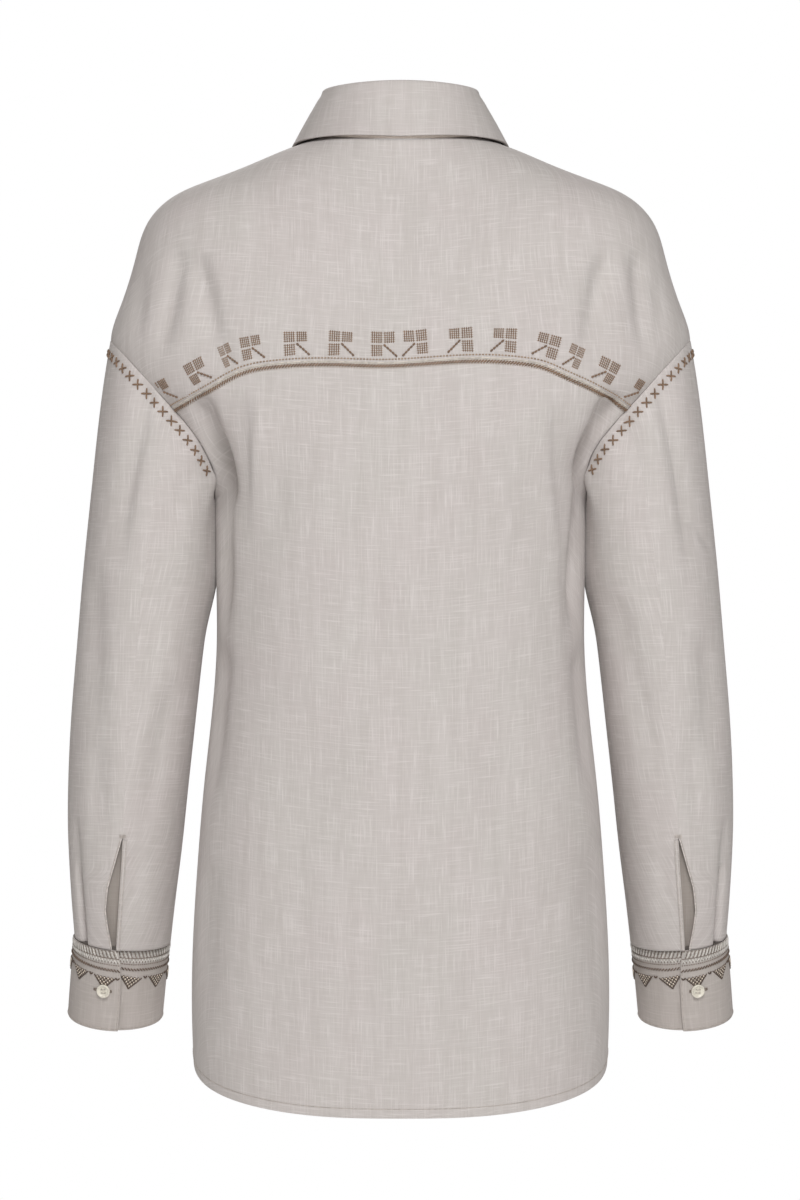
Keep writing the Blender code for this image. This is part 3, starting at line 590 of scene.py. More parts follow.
side_turns, side_downs = armhole(np.linspace(SHOULDER_SEAM_TURN, 90, YOKE_COLUMNS_EACH_SIDE))
back_turns = YOKE_CORNER[0] * spread(121)[::-1]
back_downs = solve_down(back_turns, yoke_seam_z)
yoke_turns = np.concatenate([side_turns[:-1], back_turns, -side_turns[-2::-1]])
yoke_downs = np.concatenate([side_downs[:-1], back_downs, side_downs[-2::-1]]) - SEAM / 2
neck_starts = NECK_DIP * smooth((90 - np.abs(yoke_turns)) / 50)
yoke_down = neck_starts + np.linspace(0.0, 1.0, YOKE_ROWS)[:, None] * (yoke_downs - neck_starts)
yoke_grid = body(yoke_turns, yoke_down)
yoke_flat = body_flat(yoke_turns, yoke_down, BACK_LAYOUT)
yoke_core = body_axis(yoke_grid) - (0, 0, 60)
yoke_grid, yoke_flat = turned_under(yoke_grid, yoke_flat, yoke_core, 0, -1, 1.0, LAP_DEPTH)
yoke = cloth("yoke_cloth", yoke_grid, yoke_flat, (0, 0, -120), LINEN, body_linen)
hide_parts("back_yoke")

# --------------------
# The back is one linen panel. Its top edge is sewn under the yoke, its upper sides into the
# armholes and its long sides to the fronts, and it ends in a shirt tail with a narrow rolled hem.

HEM_BACK, HEM_SIDE, HEM_FRONT, HEM_ROUNDING = -768.5, -730.0, -752.0, 3.3
HEM_DEPTH, HEM_FOLD = 7.0, LINEN + 0.3  # height of the hem, and how far its turned edge lies inside
TORSO_ROWS, TORSO_CORE = 140, (0, 0, -450)


def hem_z(x, turn):
    """z of the hem's edge. It doesn't change with x."""
    from_back = np.abs(turn) / 90
    middle = np.where(from_back <= 1, HEM_BACK, HEM_FRONT)
    share = np.clip(np.minimum(from_back, np.abs(2 - from_back)), 0, 1)
    return middle + (HEM_SIDE - middle) * share**HEM_ROUNDING


back_spread = spread(141)
arm_turns, arm_downs = armhole(np.linspace(90, 180, 34))
bow = solve_down(arm_turns[0] * back_spread, yoke_seam_z) - arm_downs[0]
rows = []
for i, (turn, down) in enumerate(zip(arm_turns, arm_downs)):
    left = 1 - i / (len(arm_turns) - 1)
    rows.append((turn * back_spread, down + bow * left**0.8 + SEAM / 2 * left))
hem_turns = (90 - SEAM / 2 / SIDE_MM_PER_DEGREE) * back_spread
hem_downs = solve_down(hem_turns, hem_z)
rows[-1] = (hem_turns, rows[-1][1])
for fraction in np.linspace(0, 1, TORSO_ROWS + 1)[1:]:
    rows.append((hem_turns, arm_downs[-1] + (hem_downs - arm_downs[-1]) * fraction))
turns, downs = np.moveaxis(np.array(rows), 1, 0)
back_grid, back_flat = body(turns, downs), body_flat(turns, downs, BACK_LAYOUT)
back_grid, back_flat = turned_under(back_grid, back_flat, TORSO_CORE, 0, 0, LAP, LAP_DEPTH)
back_grid, back_flat = turned_under(back_grid, back_flat, TORSO_CORE, 0, -1, -HEM_DEPTH, HEM_FOLD)
back = cloth("back_cloth", back_grid, back_flat, TORSO_CORE, LINEN, body_linen)
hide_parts("back")

# --------------------
# The two fronts are plain linen panels. Each is sewn to the yoke in front of the shoulder, into
# the armhole and to the back, and its inner edge lies under the buttoned front band.

FRONT_EDGE = -13.0  # x of the join of the two fronts, under the band
BAND_WIDTH = 30.0


def front_turn(down, x):
    """Turn at which the front of the body has this x."""
    return 180.0 - np.degrees(np.arcsin(x / ring_at(down)[4]))


def front_panel(side):
    """The grid and the flat layout of one front. side is 1 for the wearer's left."""
    edge_x = side * FRONT_EDGE + SEAM / 2
    seam_turn, seam_down = armhole(SHOULDER_SEAM_TURN)
    seam = seam_down * np.linspace(0, 1, 50)
    radius = np.linalg.norm(smooth_body(seam_turn, seam)[:, :2], axis=-1)
    arm_turn, arm_down = armhole(np.linspace(SHOULDER_SEAM_TURN, -180, 50)[1:])
    starts = np.concatenate([seam_turn + np.degrees(SEAM / radius), arm_turn])
    downs = np.concatenate([seam, arm_down])
    starts[-1] = 90 + SEAM / 2 / SIDE_MM_PER_DEGREE

    def row(start, down):
        return start + (front_turn(down, edge_x) - start) * np.linspace(0, 1, 70)

    rows = [(row(start, down), np.full(70, down)) for start, down in zip(starts, downs)]
    hem_downs = solve_down(rows[-1][0], hem_z)
    for fraction in np.linspace(0, 1, TORSO_ROWS + 1)[1:]:
        down = downs[-1] + (hem_downs - downs[-1]) * fraction
        rows.append((row(starts[-1], down[-1]), down))
    turns, downs = np.moveaxis(np.array(rows), 1, 0)
    grid, flat = body(side * turns, downs), body_flat(side * turns, downs, FRONT_LAYOUT)
    grid, flat = turned_under(grid, flat, TORSO_CORE, 1, 0, LAP, LAP_DEPTH)
    return turned_under(grid, flat, TORSO_CORE, 0, -1, -HEM_DEPTH, HEM_FOLD)


SIDES = (("left", 1), ("right", -1))  # the wearer's, and the sign of x there
for word, side in SIDES:
    grid, flat = front_panel(side)
    front = cloth(f"front_cloth_{word}", grid, flat, TORSO_CORE, LINEN, body_linen)
    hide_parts(f"front_{word}")

# The front band is a folded strip of the same linen, sewn on over the meeting fronts.
BAND_LIFT, BAND_LINEN = 1.6, 1.1
band_end = float(solve_down(np.array([180.0]), hem_z)[0])
band_down = np.linspace(0.0, band_end, 200)[:, None]
band_x = np.concatenate([[-1.0, -0.97], np.linspace(-0.9, 0.9, 11), [0.97, 1.0]])
band_edge = np.where(np.abs(band_x) > 0.99, -0.5, 0.0)  # the pressed edges lie a little lower
band_turn = front_turn(band_down, BAND_WIDTH / 2 * band_x)
band_grid = body(band_turn, band_down, BAND_LIFT + band_edge)
band_run = run_of(band_grid[:, len(band_x) // 2])[:, None]
band_flat = in_metres(BAND_WIDTH / 2 * band_x, -band_run)
band_grid, band_flat = turned_under(band_grid, band_flat, TORSO_CORE, 0, -1, -HEM_DEPTH, LINEN)
band = cloth("band_cloth", band_grid, band_flat, TORSO_CORE, BAND_LINEN, body_linen)
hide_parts("front_band")

# --------------------
# Each sleeve is a wide linen tube, sewn into the dropped armhole and pleated into its cuff, with a
# slit at the back of the wrist. The sleeve is sewn on flat, so it keeps the armhole's outline at
# its top and rounds out below it.

# Rings of a sleeve from the armhole to the top of the cuff. Columns: x and z of the outer point,
# x and z of the inner point, half depth, y of the middle, forward lean in degrees.
SLEEVE_RINGS = np.array((
    (231.5, -158, 149, -284, 52, 0, 0),
    (236.5, -189, 149.4, -300, 56, 0, 0),
    (241.5, -227, 148.9, -320, 59, -1, 0),
    (247.8, -285, 149.2, -350, 60, -3, 0),
    (253.8, -343, 154.4, -383, 59, -5, 1),
    (258.8, -400, 159.6, -422, 57.5, -8, 3),
    (263.8, -458, 165, -470, 55.5, -13, 5),
    (266.8, -516, 170.8, -521, 53, -20, 8),
    (267.2, -545, 173.6, -547, 51.5, -24, 9.5),
    (266.4, -575, 177, -575, 49.5, -29, 11),
    (265, -604, 181, -605, 46.5, -34.5, 13),
    (263, -635.5, 185.4, -641, 39.5, -42, 11),
))
ARMHOLE_FADE = 120.0  # length over which a sleeve ring loses the shape of the armhole
ARMHOLE_LEAN = np.array((0.83, 0.0, -0.56))  # the way a sleeve leaves the armhole
SLEEVE_CLEARANCE = 0.46

# Folds of a sleeve. Columns: turn round the sleeve and z at the top, the same at the bottom,
# width of its two slopes in millimetres, depth. Turn 0 is the outer line, 90 the back, 180 the
# body side.
SLEEVE_FOLDS = {
    1: (
        (70, -172, 66, -356, 13, 6.5, 4.2),
        (133, -206, 141, -296, 9, 7, -4),
        (180, -262, 182, -400, 10, 14, -3),
        (112, -250, 100, -380, 12, 10, 2.4),
        (40, -330, 62, -500, 14, 12, 3),
        (120, -330, 88, -480, 16, 14, 2.2),
        (128, -420, 112, -560, 10, 14, 3.4),
        (58, -470, 70, -570, 10, 10, 2.6),
        (232, -250, 250, -370, 12, 12, 5),
        (300, -300, 280, -440, 14, 14, 3.6),
        (262, -440, 226, -486, 10, 10, 4.6),
        (286, -500, 236, -528, 9, 9, 4.2),
        (330, -520, 300, -610, 9, 9, 3.4),
        (33, -572, 43, -664, 3.2, 2.2, 11),
        (33, -530, 44, -665, 9, 5, 2.6),
        (200, -560, 196, -640, 6, 5, 3.4),
        (262, -580, 258, -642, 5, 5, 3),
        (104, -560, 100, -640, 8, 8, 1.8),
    ),
    -1: (
        (62, -176, 58, -366, 13, 7, 4),
        (132, -206, 140, -298, 9, 7, -4.2),
        (180, -262, 182, -400, 10, 14, -3),
        (100, -200, 84, -300, 9, 10, 2.2),
        (50, -300, 24, -330, 7, 9, 2),
        (132, -350, 104, -520, 12, 15, 3.2),
        (44, -380, 58, -520, 15, 13, 3),
        (76, -470, 66, -572, 10, 10, 2.4),
        (234, -256, 252, -360, 12, 12, 5),
        (296, -290, 284, -450, 14, 14, 3.6),
        (258, -448, 224, -492, 10, 10, 4.4),
        (282, -508, 240, -540, 9, 9, 4.2),
        (326, -530, 304, -616, 9, 9, 3.2),
        (33.5, -574, 43, -664, 3.2, 2.2, 11),
        (34, -532, 44, -665, 9, 5, 2.6),
        (204, -564, 198, -640, 6, 5, 3.4),
        (266, -584, 262, -642, 5, 5, 3),
        (106, -560, 102, -640, 8, 8, 1.6),
    ),
}

# The slit at the back of the wrist. Columns: z, turn of the over edge, turn of the under edge.
SLIT = np.array((
    (-553, 90, 90),
    (-575, 83, 89.5),
    (-595, 76, 88.5),
    (-614, 73.5, 87.5),
    (-628, 76, 86.5),
    (-643, 80, 85.5),
))
SLEEVE_KNOTS = run_of(SLEEVE_RINGS[:, :2])
SLEEVE_LENGTH = SLEEVE_KNOTS[-1]


def oval(ring, turn):
    """Points of one oval ring from its table columns."""
    outer_x, outer_z, inner_x, inner_z, half_depth, y, lean = np.moveaxis(ring, -1, 0)
    cosine, sine = np.cos(np.radians(turn)), np.sin(np.radians(turn))
    back, down = half_depth * np.cos(np.radians(lean)), half_depth * np.sin(np.radians(lean))
    x = (outer_x + inner_x) / 2 + (outer_x - inner_x) / 2 * cosine
    z = (outer_z + inner_z) / 2 + (outer_z - inner_z) / 2 * cosine
    return np.stack([x, y + back * sine, z - down * sine], axis=-1)


def smooth_sleeve(turn, down, side):
    """The left sleeve without folds. down is the distance down its outer line."""
    turn, down = same_shape(turn, down)
    points = oval(spline(SLEEVE_KNOTS, SLEEVE_RINGS, down), turn)
    seam_turn, seam_down = armhole(turn)
    seam = body(side * seam_turn, seam_down) * (side, 1, 1)
    start = oval(np.broadcast_to(SLEEVE_RINGS[0], turn.shape + (7,)), turn)
    remains = 1 - smooth(down / ARMHOLE_FADE)
    return points + (seam - start) * remains[..., None] + SLEEVE_CLEARANCE * ARMHOLE_LEAN


def sleeve(turn, down, side, lift=0.0):
    """The sleeve on one side with its folds, moved outwards by lift."""
    turn, down = same_shape(turn, down)
    points = smooth_sleeve(turn, down, side)
    round_sleeve = smooth_sleeve(turn + 1, down, side) - smooth_sleeve(turn - 1, down, side)
    down_sleeve = smooth_sleeve(turn, down + 1, side) - smooth_sleeve(turn, down - 1, side)
    normal = unit(np.cross(down_sleeve, round_sleeve))
    radius = np.linalg.norm(round_sleeve, axis=-1) / math.radians(2)
    relief = np.zeros(turn.shape)
    for turn_top, z_top, turn_low, z_low, left_width, right_width, depth in SLEEVE_FOLDS[side]:
        along = (points[..., 2] - z_top) / (z_low - z_top)
        line = turn_top + (turn_low - turn_top) * np.clip(along, 0, 1)
        across = np.radians((turn - line + 180) % 360 - 180) * radius
        relief += fold(across, along, left_width, right_width, depth)
    relief *= smooth(down / 6)
    return (points + normal * (relief + lift)[..., None]) * (side, 1, 1)


def slit_turns(down, side):
    """Turns of the over and under edges of the slit at a distance down the sleeve."""
    z = smooth_sleeve(90.0, down, side)[..., 2]
    return np.interp(-z, -SLIT[:, 0], SLIT[:, 1]), np.interp(-z, -SLIT[:, 0], SLIT[:, 2])


def sleeve_flat(points):
    """The flat layout of a sleeve: u round it, level, and v down it."""
    steps = np.diff(points, axis=1)[..., :2]
    u = np.pad(np.cumsum(np.linalg.norm(steps, axis=-1), axis=1), ((0, 0), (1, 0)))
    u -= u[:, u.shape[1] // 2][:, None]
    return in_metres(u, points[..., 2])


SLIT_START = 388.0  # down the sleeve
UNDER_THE_SEAM = 2.6  # how far a sleeve's cloth is carried on below the armhole's edge
sleeve_downs = np.concatenate([
    np.linspace(0, SLIT_START, 120), np.linspace(SLIT_START, SLEEVE_LENGTH - SEAM / 2, 46)[1:]])
# More columns lie where the pleat is, beside the slit.
sleeve_round = np.unique(np.concatenate([np.linspace(0, 1, 116), np.linspace(0.08, 0.16, 34)]))
sleeves = {}


def middles(grid):
    """The middle of each ring of a tube, in the shape of a grid."""
    return grid.mean(axis=1)[:, None]


for word, side in SIDES:
    over, under = (edge[:, None] for edge in slit_turns(sleeve_downs, side))
    turns = over - sleeve_round * (360 - (under - over))
    grid = sleeve(turns, sleeve_downs[:, None], side)
    flat = sleeve_flat(grid)
    grid, flat = turned_under(grid, flat, middles(grid), 0, 0, UNDER_THE_SEAM, LAP_DEPTH)
    sleeve_piece = cloth(f"sleeve_cloth_{word}", grid, flat, middles(grid), LINEN, body_linen)
    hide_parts(f"sleeve_{word}")
    sleeves[word] = sleeve_piece, flat

# A narrow strip of linen binds the under edge of the slit, with a line of stitching down each side,
# and runs on below the opening as its under lap.
BINDING_WIDTH, BINDING_LINEN = 3.8, 0.6
UNDERLAP_DEPTH, UNDERLAP_SAG = 3.4, 0.9  # how far inside the sleeve it lies, and more at its middle
WRIST_RADIUS = 46.0

binding_downs = np.linspace(SLIT_START + 2, SLEEVE_LENGTH - SEAM, 50)[:, None]
binding_across = np.array([0.0, 0.03, 0.1, 0.3, 0.5, 0.7, 0.9, 0.97, 1.0])
binding_lift = BINDING_LINEN + SEAM - np.where(np.abs(binding_across - 0.5) > 0.45, 0.3, 0.0)
underlap_across = np.linspace(0, 1, 30)
# The under lap is the same linen painted darker: painted shade for its place deep inside the slit.
shaded_linen = linen("under lap linen", (0.63, 0.60, 0.565), 0.6)
for word, side in SIDES:
    over, under = slit_turns(binding_downs, side)
    turns = under + binding_across * math.degrees(BINDING_WIDTH / WRIST_RADIUS)
    grid = sleeve(turns, binding_downs, side, binding_lift)
    core = middles(grid) - (0, 40, 0)
    made = cloth(f"binding_cloth_{word}", grid, in_metres(binding_across * BINDING_WIDTH, -binding_downs),
                 core, BINDING_LINEN, body_linen)
    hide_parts(f"binding_{word}")
    turns = under + 1.5 + underlap_across * (over - under - 6.5)
    sag = UNDERLAP_DEPTH + UNDERLAP_SAG * np.sin(math.pi * underlap_across)
    underlap = cloth(f"slit_underlap_{word}", sleeve(turns, binding_downs, side, -sag),
                     in_metres(np.radians(turns) * WRIST_RADIUS, -binding_downs),
                     core, BINDING_LINEN, shaded_linen)
    sleeve_piece, flat = sleeves[word]

# --------------------
# A cuff is a folded band of linen with a thin interlining, sewn to the pleated end of the sleeve.
# Its over end laps its under end at the back of the wrist and is buttoned down there.

# Rings of a cuff, with the columns of the sleeve rings.
CUFF_RINGS = np.array((
    (263.6, -636, 185.6, -641.5, 39.5, -42.2, 11),
    (266.8, -667.8, 188.8, -672.5, 39, -50.5, 13.5),
    (269.6, -699.6, 192, -703, 38.4, -59, 16),
))
CUFF_EDGE_TURN = 91.0
# How far the over edge strays from that turn, in degrees, at distances down the cuff.
CUFF_EDGE_DOWN, CUFF_EDGE_STRAY = (0.0, 10.0, 28.0, 48.0, 66.0), (-2.0, 1.4, 4.4, 5.2, 4.6)
CUFF_UNDERLAP = 40.0  # degrees
CUFF_RADIUS = 39.0
LAP_INSIDE = 2.5  # how far an under end lies inside an over end
CUFF_KNOTS = run_of(CUFF_RINGS[:, :2])
CUFF_DEPTH = CUFF_KNOTS[-1]


def edge_fall(place, length, depth=0.5, width=0.9):
    """How far a folded edge falls away within a width of either end of a length."""
    from_end = np.minimum(place, length - place)
    return -depth * (1 - smooth(from_end / width)) ** 2


def cuff(turn, down, side, lift=0.0):
    """A cuff's outer face, moved outwards by lift. down is in millimetres from its top edge."""
    turn, down = same_shape(turn, down)
    ring = spline(CUFF_KNOTS, CUFF_RINGS, down)
    points = oval(ring, turn)
    out = unit(points - oval(ring, turn + 180))
    points = points + out * np.asarray(lift)[..., None] + SLEEVE_CLEARANCE * ARMHOLE_LEAN
    return points * (side, 1, 1)


def lap(sweep):
    """How a cuff draws inwards towards its under end, at degrees round it from its over end."""
    return -LAP_INSIDE * smooth((sweep - 240) / 90)


def cuff_turn(sweep, down):
    """The turn at degrees round a cuff from its over edge, which isn't quite straight."""
    stray = np.interp(down, CUFF_EDGE_DOWN, CUFF_EDGE_STRAY)
    return CUFF_EDGE_TURN - sweep + stray * (1 - smooth(sweep / 70))


cuff_sweep = np.concatenate([[0, 0.6, 1.4], np.linspace(2.5, 358 + CUFF_UNDERLAP, 150),
                             [359.4 + CUFF_UNDERLAP, 360 + CUFF_UNDERLAP]])
cuff_down = np.concatenate([[0, 0.3, 0.9], np.linspace(2, CUFF_DEPTH - 2, 34),
                            CUFF_DEPTH - np.array([0.9, 0.3, 0])])[:, None]
from_over_edge = np.radians(cuff_sweep) * CUFF_RADIUS
cuff_lift = lap(cuff_sweep) + edge_fall(cuff_down, CUFF_DEPTH) + edge_fall(from_over_edge, math.inf)
cuff_linen = linen("cuff linen", (0.84, 0.82, 0.80), 0.8)
for word, side in SIDES:
    grid = cuff(cuff_turn(cuff_sweep, cuff_down), cuff_down, side, cuff_lift)
    flat = in_metres(run_of(grid[len(grid) // 2]), -cuff_down)
    made = cloth(f"cuff_cloth_{word}", grid, flat, middles(grid), DOUBLE_LINEN, cuff_linen)
    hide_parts(f"cuff_{word}")

# --------------------
# The collar has two parts, both of doubled linen with an interlining: a stand sewn upright to the
# neck, which crosses over at the front, and a leaf that rolls over the stand and falls outside it.

# The stand's top ring: half width, depths behind and in front, z at the sides, back and front.
STAND_HALF, STAND_BACK, STAND_FRONT = 58.5, 53.5, 61.0
STAND_Z_SIDE, STAND_Z_BACK, STAND_Z_FRONT = 37.0, 39.6, -32.0
STAND_OVERLAP = 14.0  # degrees past centre front, on each side
STAND_CLEARANCE = 0.6
# The roll of the leaf over the stand, as distance outwards and upwards from the stand's top.
ROLL = ((-1.9, 0.5), (-1.8, 2.6), (-0.6, 4.9), (1.6, 5.8), (3.7, 4.7), (4.7, 2.2))
# The free edge of the leaf. Columns: turn of the fold, turn of the edge, distance down the body
# from the neck seam, distance off it.
LEAF_EDGE = np.array((
    (0, 0, 0.5, 4.2),
    (30, 29, 1.3, 4.6),
    (55, 54, 6.2, 4.4),
    (75, 74, 13, 3.2),
    (90, 88, 18.5, 2.8),
    (110, 106, 28, 3.4),
    (135, 126, 42, 3.4),
    (158, 142, 60, 3.4),
    (173, 150, 72, 3.4),
))
LEAF_END = 173.0  # turn of the leaf's ends
LEAF_BULGE = 0.8
NECK_CORE = (0, 0, 10)


def stand_ring(turn):
    """The top edge of the collar stand."""
    sine, cosine = np.sin(np.radians(turn)), np.cos(np.radians(turn))
    depth = np.where(cosine >= 0, STAND_BACK, STAND_FRONT)
    z_middle = np.where(cosine >= 0, STAND_Z_BACK, STAND_Z_FRONT)
    radius = 1 / np.sqrt((sine / STAND_HALF) ** 2 + (cosine / depth) ** 2)
    z = STAND_Z_SIDE + (z_middle - STAND_Z_SIDE) * cosine**2
    return np.stack([radius * sine, radius * cosine, z], axis=-1)


collar_linen = linen("collar linen", (0.98, 0.98, 0.98), 0.8)
# The stand's linen is painted lighter and warmer than the body's: painted light on the strip below the
# leaf, which lies in the leaf's shadow.
stand_linen_painted_lighter = linen("stand linen", (1.37, 1.28, 1.18), 0.6)
sweep = np.linspace(0, 360 + 2 * STAND_OVERLAP, 200)
turn = 180 - STAND_OVERLAP + sweep
foot = smooth_body(turn, 0.0) + (0, 0, STAND_CLEARANCE)
foot[:, 2] -= NECK_DIP * smooth(1.5 * np.cos(np.radians(turn)))
top = stand_ring(turn)
up = np.linspace(0, 1, 24)[:, None, None]
ring = foot + (top - foot) * up
inwards = LAP_INSIDE * smooth((sweep - 290) / 60)  # its under end lies inside its over end
stand_grid = ring - unit(ring * (1, 1, 0)) * inwards[:, None]
stand_height = np.linalg.norm(top - foot, axis=-1).mean()
stand_flat = in_metres(run_of(foot), up[..., 0] * stand_height)
stand = cloth("stand_cloth", stand_grid, stand_flat, NECK_CORE, DOUBLE_LINEN, stand_linen_painted_lighter)
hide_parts("collar_stand")

leaf_turns = np.concatenate([[-1, -0.997], np.linspace(-0.99, 0.99, 165), [0.997, 1]]) * LEAF_END
edge_turn, edge_down, edge_lift = np.moveaxis(
    spline(LEAF_EDGE[:, 0], LEAF_EDGE[:, 1:], np.abs(leaf_turns)), -1, 0)
edge = body(np.sign(leaf_turns) * edge_turn, edge_down, edge_lift)
crest = stand_ring(leaf_turns)
outwards = unit(crest * (1, 1, 0))
rows = [crest + outwards * out + np.array((0, 0, rise)) for out, rise in ROLL]
start = rows[-1]
for fraction in (0.12, 0.28, 0.45, 0.63, 0.82, 1.0):
    bulge = LEAF_BULGE * math.sin(math.pi * fraction)
    rows.append(start + (edge - start) * fraction + (outwards + (0, 0, 0.4)) * bulge)
rows = np.array(rows)
knots = run_of(rows[:, len(leaf_turns) // 2])
leaf_down = np.concatenate([np.linspace(0, knots[-1] - 2, 60), knots[-1] - np.array([1, 0.4, 0])])
leaf_grid = spline(knots, rows.reshape(len(rows), -1), leaf_down).reshape(-1, *edge.shape)
leaf_flat = in_metres(run_of(leaf_grid[40]), -leaf_down[:, None])
leaf = cloth("leaf_cloth", leaf_grid, leaf_flat, NECK_CORE, DOUBLE_LINEN, collar_linen)
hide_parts("collar_leaf")

# --------------------
# The embroidery is worked by hand in stranded cotton, by counting the yarns of the linen: brown on
# the yoke, round the armholes and on the cuffs, with silvery lines on the cuffs. Every stitch is a
# short arched bundle of thread that dips into the cloth at both ends.

THREAD_LIFT = 0.05  # of a stitch's middle above the cloth
STITCH_SIDES, STITCH_POINTS = 6, 5
YOKE_BROWN, CUFF_BROWN = (0.205, 0.125, 0.075, 1.0), (0.075, 0.045, 0.027, 1.0)
SILVER, PALE = (0.60, 0.575, 0.54, 1.0), (0.66, 0.61, 0.54, 1.0)
CREAM, ROPE_BROWN = (0.70, 0.61, 0.51, 1.0), (0.125, 0.082, 0.055, 1.0)
TAN, TAUPE = (0.33, 0.235, 0.16, 1.0), (0.185, 0.145, 0.115, 1.0)


def thread(name, colour, sheen=0.25):
    """Stranded cotton: fine slanting strands, and a little lighter or darker at each stitch."""
    made, tree = new_material(name, {"Roughness": 0.55, "Sheen Weight": sheen})
    strands = noise(tree, node(tree, "ShaderNodeTexCoord").outputs["Object"], 2600.0, 2.0)
    tone = node(tree, "ShaderNodeAttribute", attribute_name="tone").outputs["Fac"]
    light = maths(tree, "MULTIPLY", ranged(tree, strands, 0.3, 0.7, 0.8, 1.2), tone)
    bright = mixed(tree, 1.0, colour, light, blend_type="MULTIPLY")
    feed_shader(tree, bright, strands, 0.3, 0.0002)
    return made


stitch_tree = bpy.data.node_groups.new("stitches", "GeometryNodeTree")
for label, way, kind in (("Geometry", "INPUT", "Geometry"), ("Sides", "INPUT", "Int"),
                         ("Points", "INPUT", "Int"), ("Arch", "INPUT", "Float"),
                         ("Taper", "INPUT", "Float"), ("Thread", "INPUT", "Material"),
                         ("Geometry", "OUTPUT", "Geometry")):
    stitch_tree.interface.new_socket(label, in_out=way, socket_type=f"NodeSocket{kind}")


def stitch_node(kind, *links, **settings):
    """The first output of one step in the making of stitches."""
    return node(stitch_tree, f"GeometryNode{kind}", *links, **settings).outputs[0]


# One stitch is a line of length 1 that arches up and thins towards its ends. It is turned and
# scaled at each point: "along" gives its way, "up" the cloth's way out, "size" its measures.
given = stitch_tree.nodes.new("NodeGroupInput").outputs
line = stitch_node("CurvePrimitiveLine", ("Start", (-0.5, 0.0, 0.0)), ("End", (0.5, 0.0, 0.0)))
line = stitch_node("ResampleCurve", (0, line), ("Count", given["Points"]))
x = node(stitch_tree, "ShaderNodeSeparateXYZ", (0, stitch_node("InputPosition"))).outputs[0]
squared = maths(stitch_tree, "MULTIPLY", ("MULTIPLY", x, x), 4.0)
rise = maths(stitch_tree, "MULTIPLY", ("SUBTRACT", 1.0, squared), given["Arch"])
rise = node(stitch_tree, "ShaderNodeCombineXYZ", (2, rise)).outputs[0]
line = stitch_node("SetPosition", (0, line), ("Offset", rise))
slim = maths(stitch_tree, "SUBTRACT", 1.0, ("MULTIPLY", squared, given["Taper"]))
line = stitch_node("SetCurveRadius", (0, line), ("Radius", slim))
outline = stitch_node("CurvePrimitiveCircle", ("Resolution", given["Sides"]), ("Radius", 0.5))
bundle = stitch_node("CurveToMesh", (0, line), (1, outline), ("Fill Caps", True))
along, up, size = (stitch_node("InputNamedAttribute", ("Name", label), data_type="FLOAT_VECTOR")
                   for label in ("along", "up", "size"))
turned = node(stitch_tree, "FunctionNodeAxesToRotation", ("Primary Axis", along),
              ("Secondary Axis", up), primary_axis="X", secondary_axis="Z")
placed = stitch_node("InstanceOnPoints", ("Points", given["Geometry"]), ("Instance", bundle),
              ("Rotation", turned.outputs[0]), ("Scale", size))
soft = stitch_node("SetShadeSmooth", (0, stitch_node("RealizeInstances", (0, placed))))
dyed = stitch_node("SetMaterial", (0, soft), ("Material", given["Thread"]))
stitch_tree.links.new(dyed, stitch_tree.nodes.new("NodeGroupOutput").inputs[0])
chance = np.random.default_rng(11)


def sewn(name, stitches, finish):
    """One mesh of all the stitches: (starts, ends, ups, widths), each an array."""
    starts, ends, ups, widths = (np.concatenate(part) for part in zip(*stitches))
    lengths = np.linalg.norm(ends - starts, axis=-1)
    sizes = np.stack([lengths, widths, widths], axis=-1) * MM
    mesh = bpy.data.meshes.new(name)
    mesh.from_pydata(((starts + ends) / 2 * MM).tolist(), [], [])
    for label, values in (("along", ends - starts), ("up", ups), ("size", sizes)):
        made = mesh.attributes.new(label, "FLOAT_VECTOR", "POINT")
        made.data.foreach_set("vector", values.astype(np.float32).ravel())
    tones = mesh.attributes.new("tone", "FLOAT", "POINT")
    tones.data.foreach_set("value", chance.uniform(0.8, 1.2, len(starts)).astype(np.float32))
    piece = in_scene(name, mesh)
    maker = piece.modifiers.new("stitches", "NODES")
    maker.node_group = stitch_tree
    values = {"Sides": STITCH_SIDES, "Points": STITCH_POINTS, "Arch": 0.45, "Taper": 0.5,
              "Thread": finish}
    for socket in stitch_tree.interface.items_tree:
        if socket.name in values:
            maker[socket.identifier] = values[socket.name]
    bpy.context.view_layer.update()
    finished = piece.evaluated_get(bpy.context.evaluated_depsgraph_get())
    piece.data = bpy.data.meshes.new_from_object(finished)
    piece.modifiers.clear()
    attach(piece, "root")


def shifted(surface, a, b, vectors):
    """Places on a surface moved over it by short vectors, in millimetres."""
    step = 0.2
    by_a = (surface(a + step, b) - surface(a - step, b)) / (2 * step)
    by_b = (surface(a, b + step) - surface(a, b - step)) / (2 * step)
    aa, ab, bb = ((p * q).sum(-1) for p, q in ((by_a, by_a), (by_a, by_b), (by_b, by_b)))
    av, bv = (by_a * vectors).sum(-1), (by_b * vectors).sum(-1)
    share = aa * bb - ab**2
    return a + (av * bb - bv * ab) / share, b + (bv * aa - av * ab) / share


def stitches_between(surface, first, second, width):
    """Stitches on a surface from one set of places to another."""
    starts, ends = surface(*first, THREAD_LIFT), surface(*second, THREAD_LIFT)
    middle = [(p + q) / 2 for p, q in zip(first, second)]
    ups = unit(surface(*middle, 1.0) - surface(*middle, 0.0))
    return starts, ends, ups, np.broadcast_to(width, starts.shape[:-1]).astype(float)


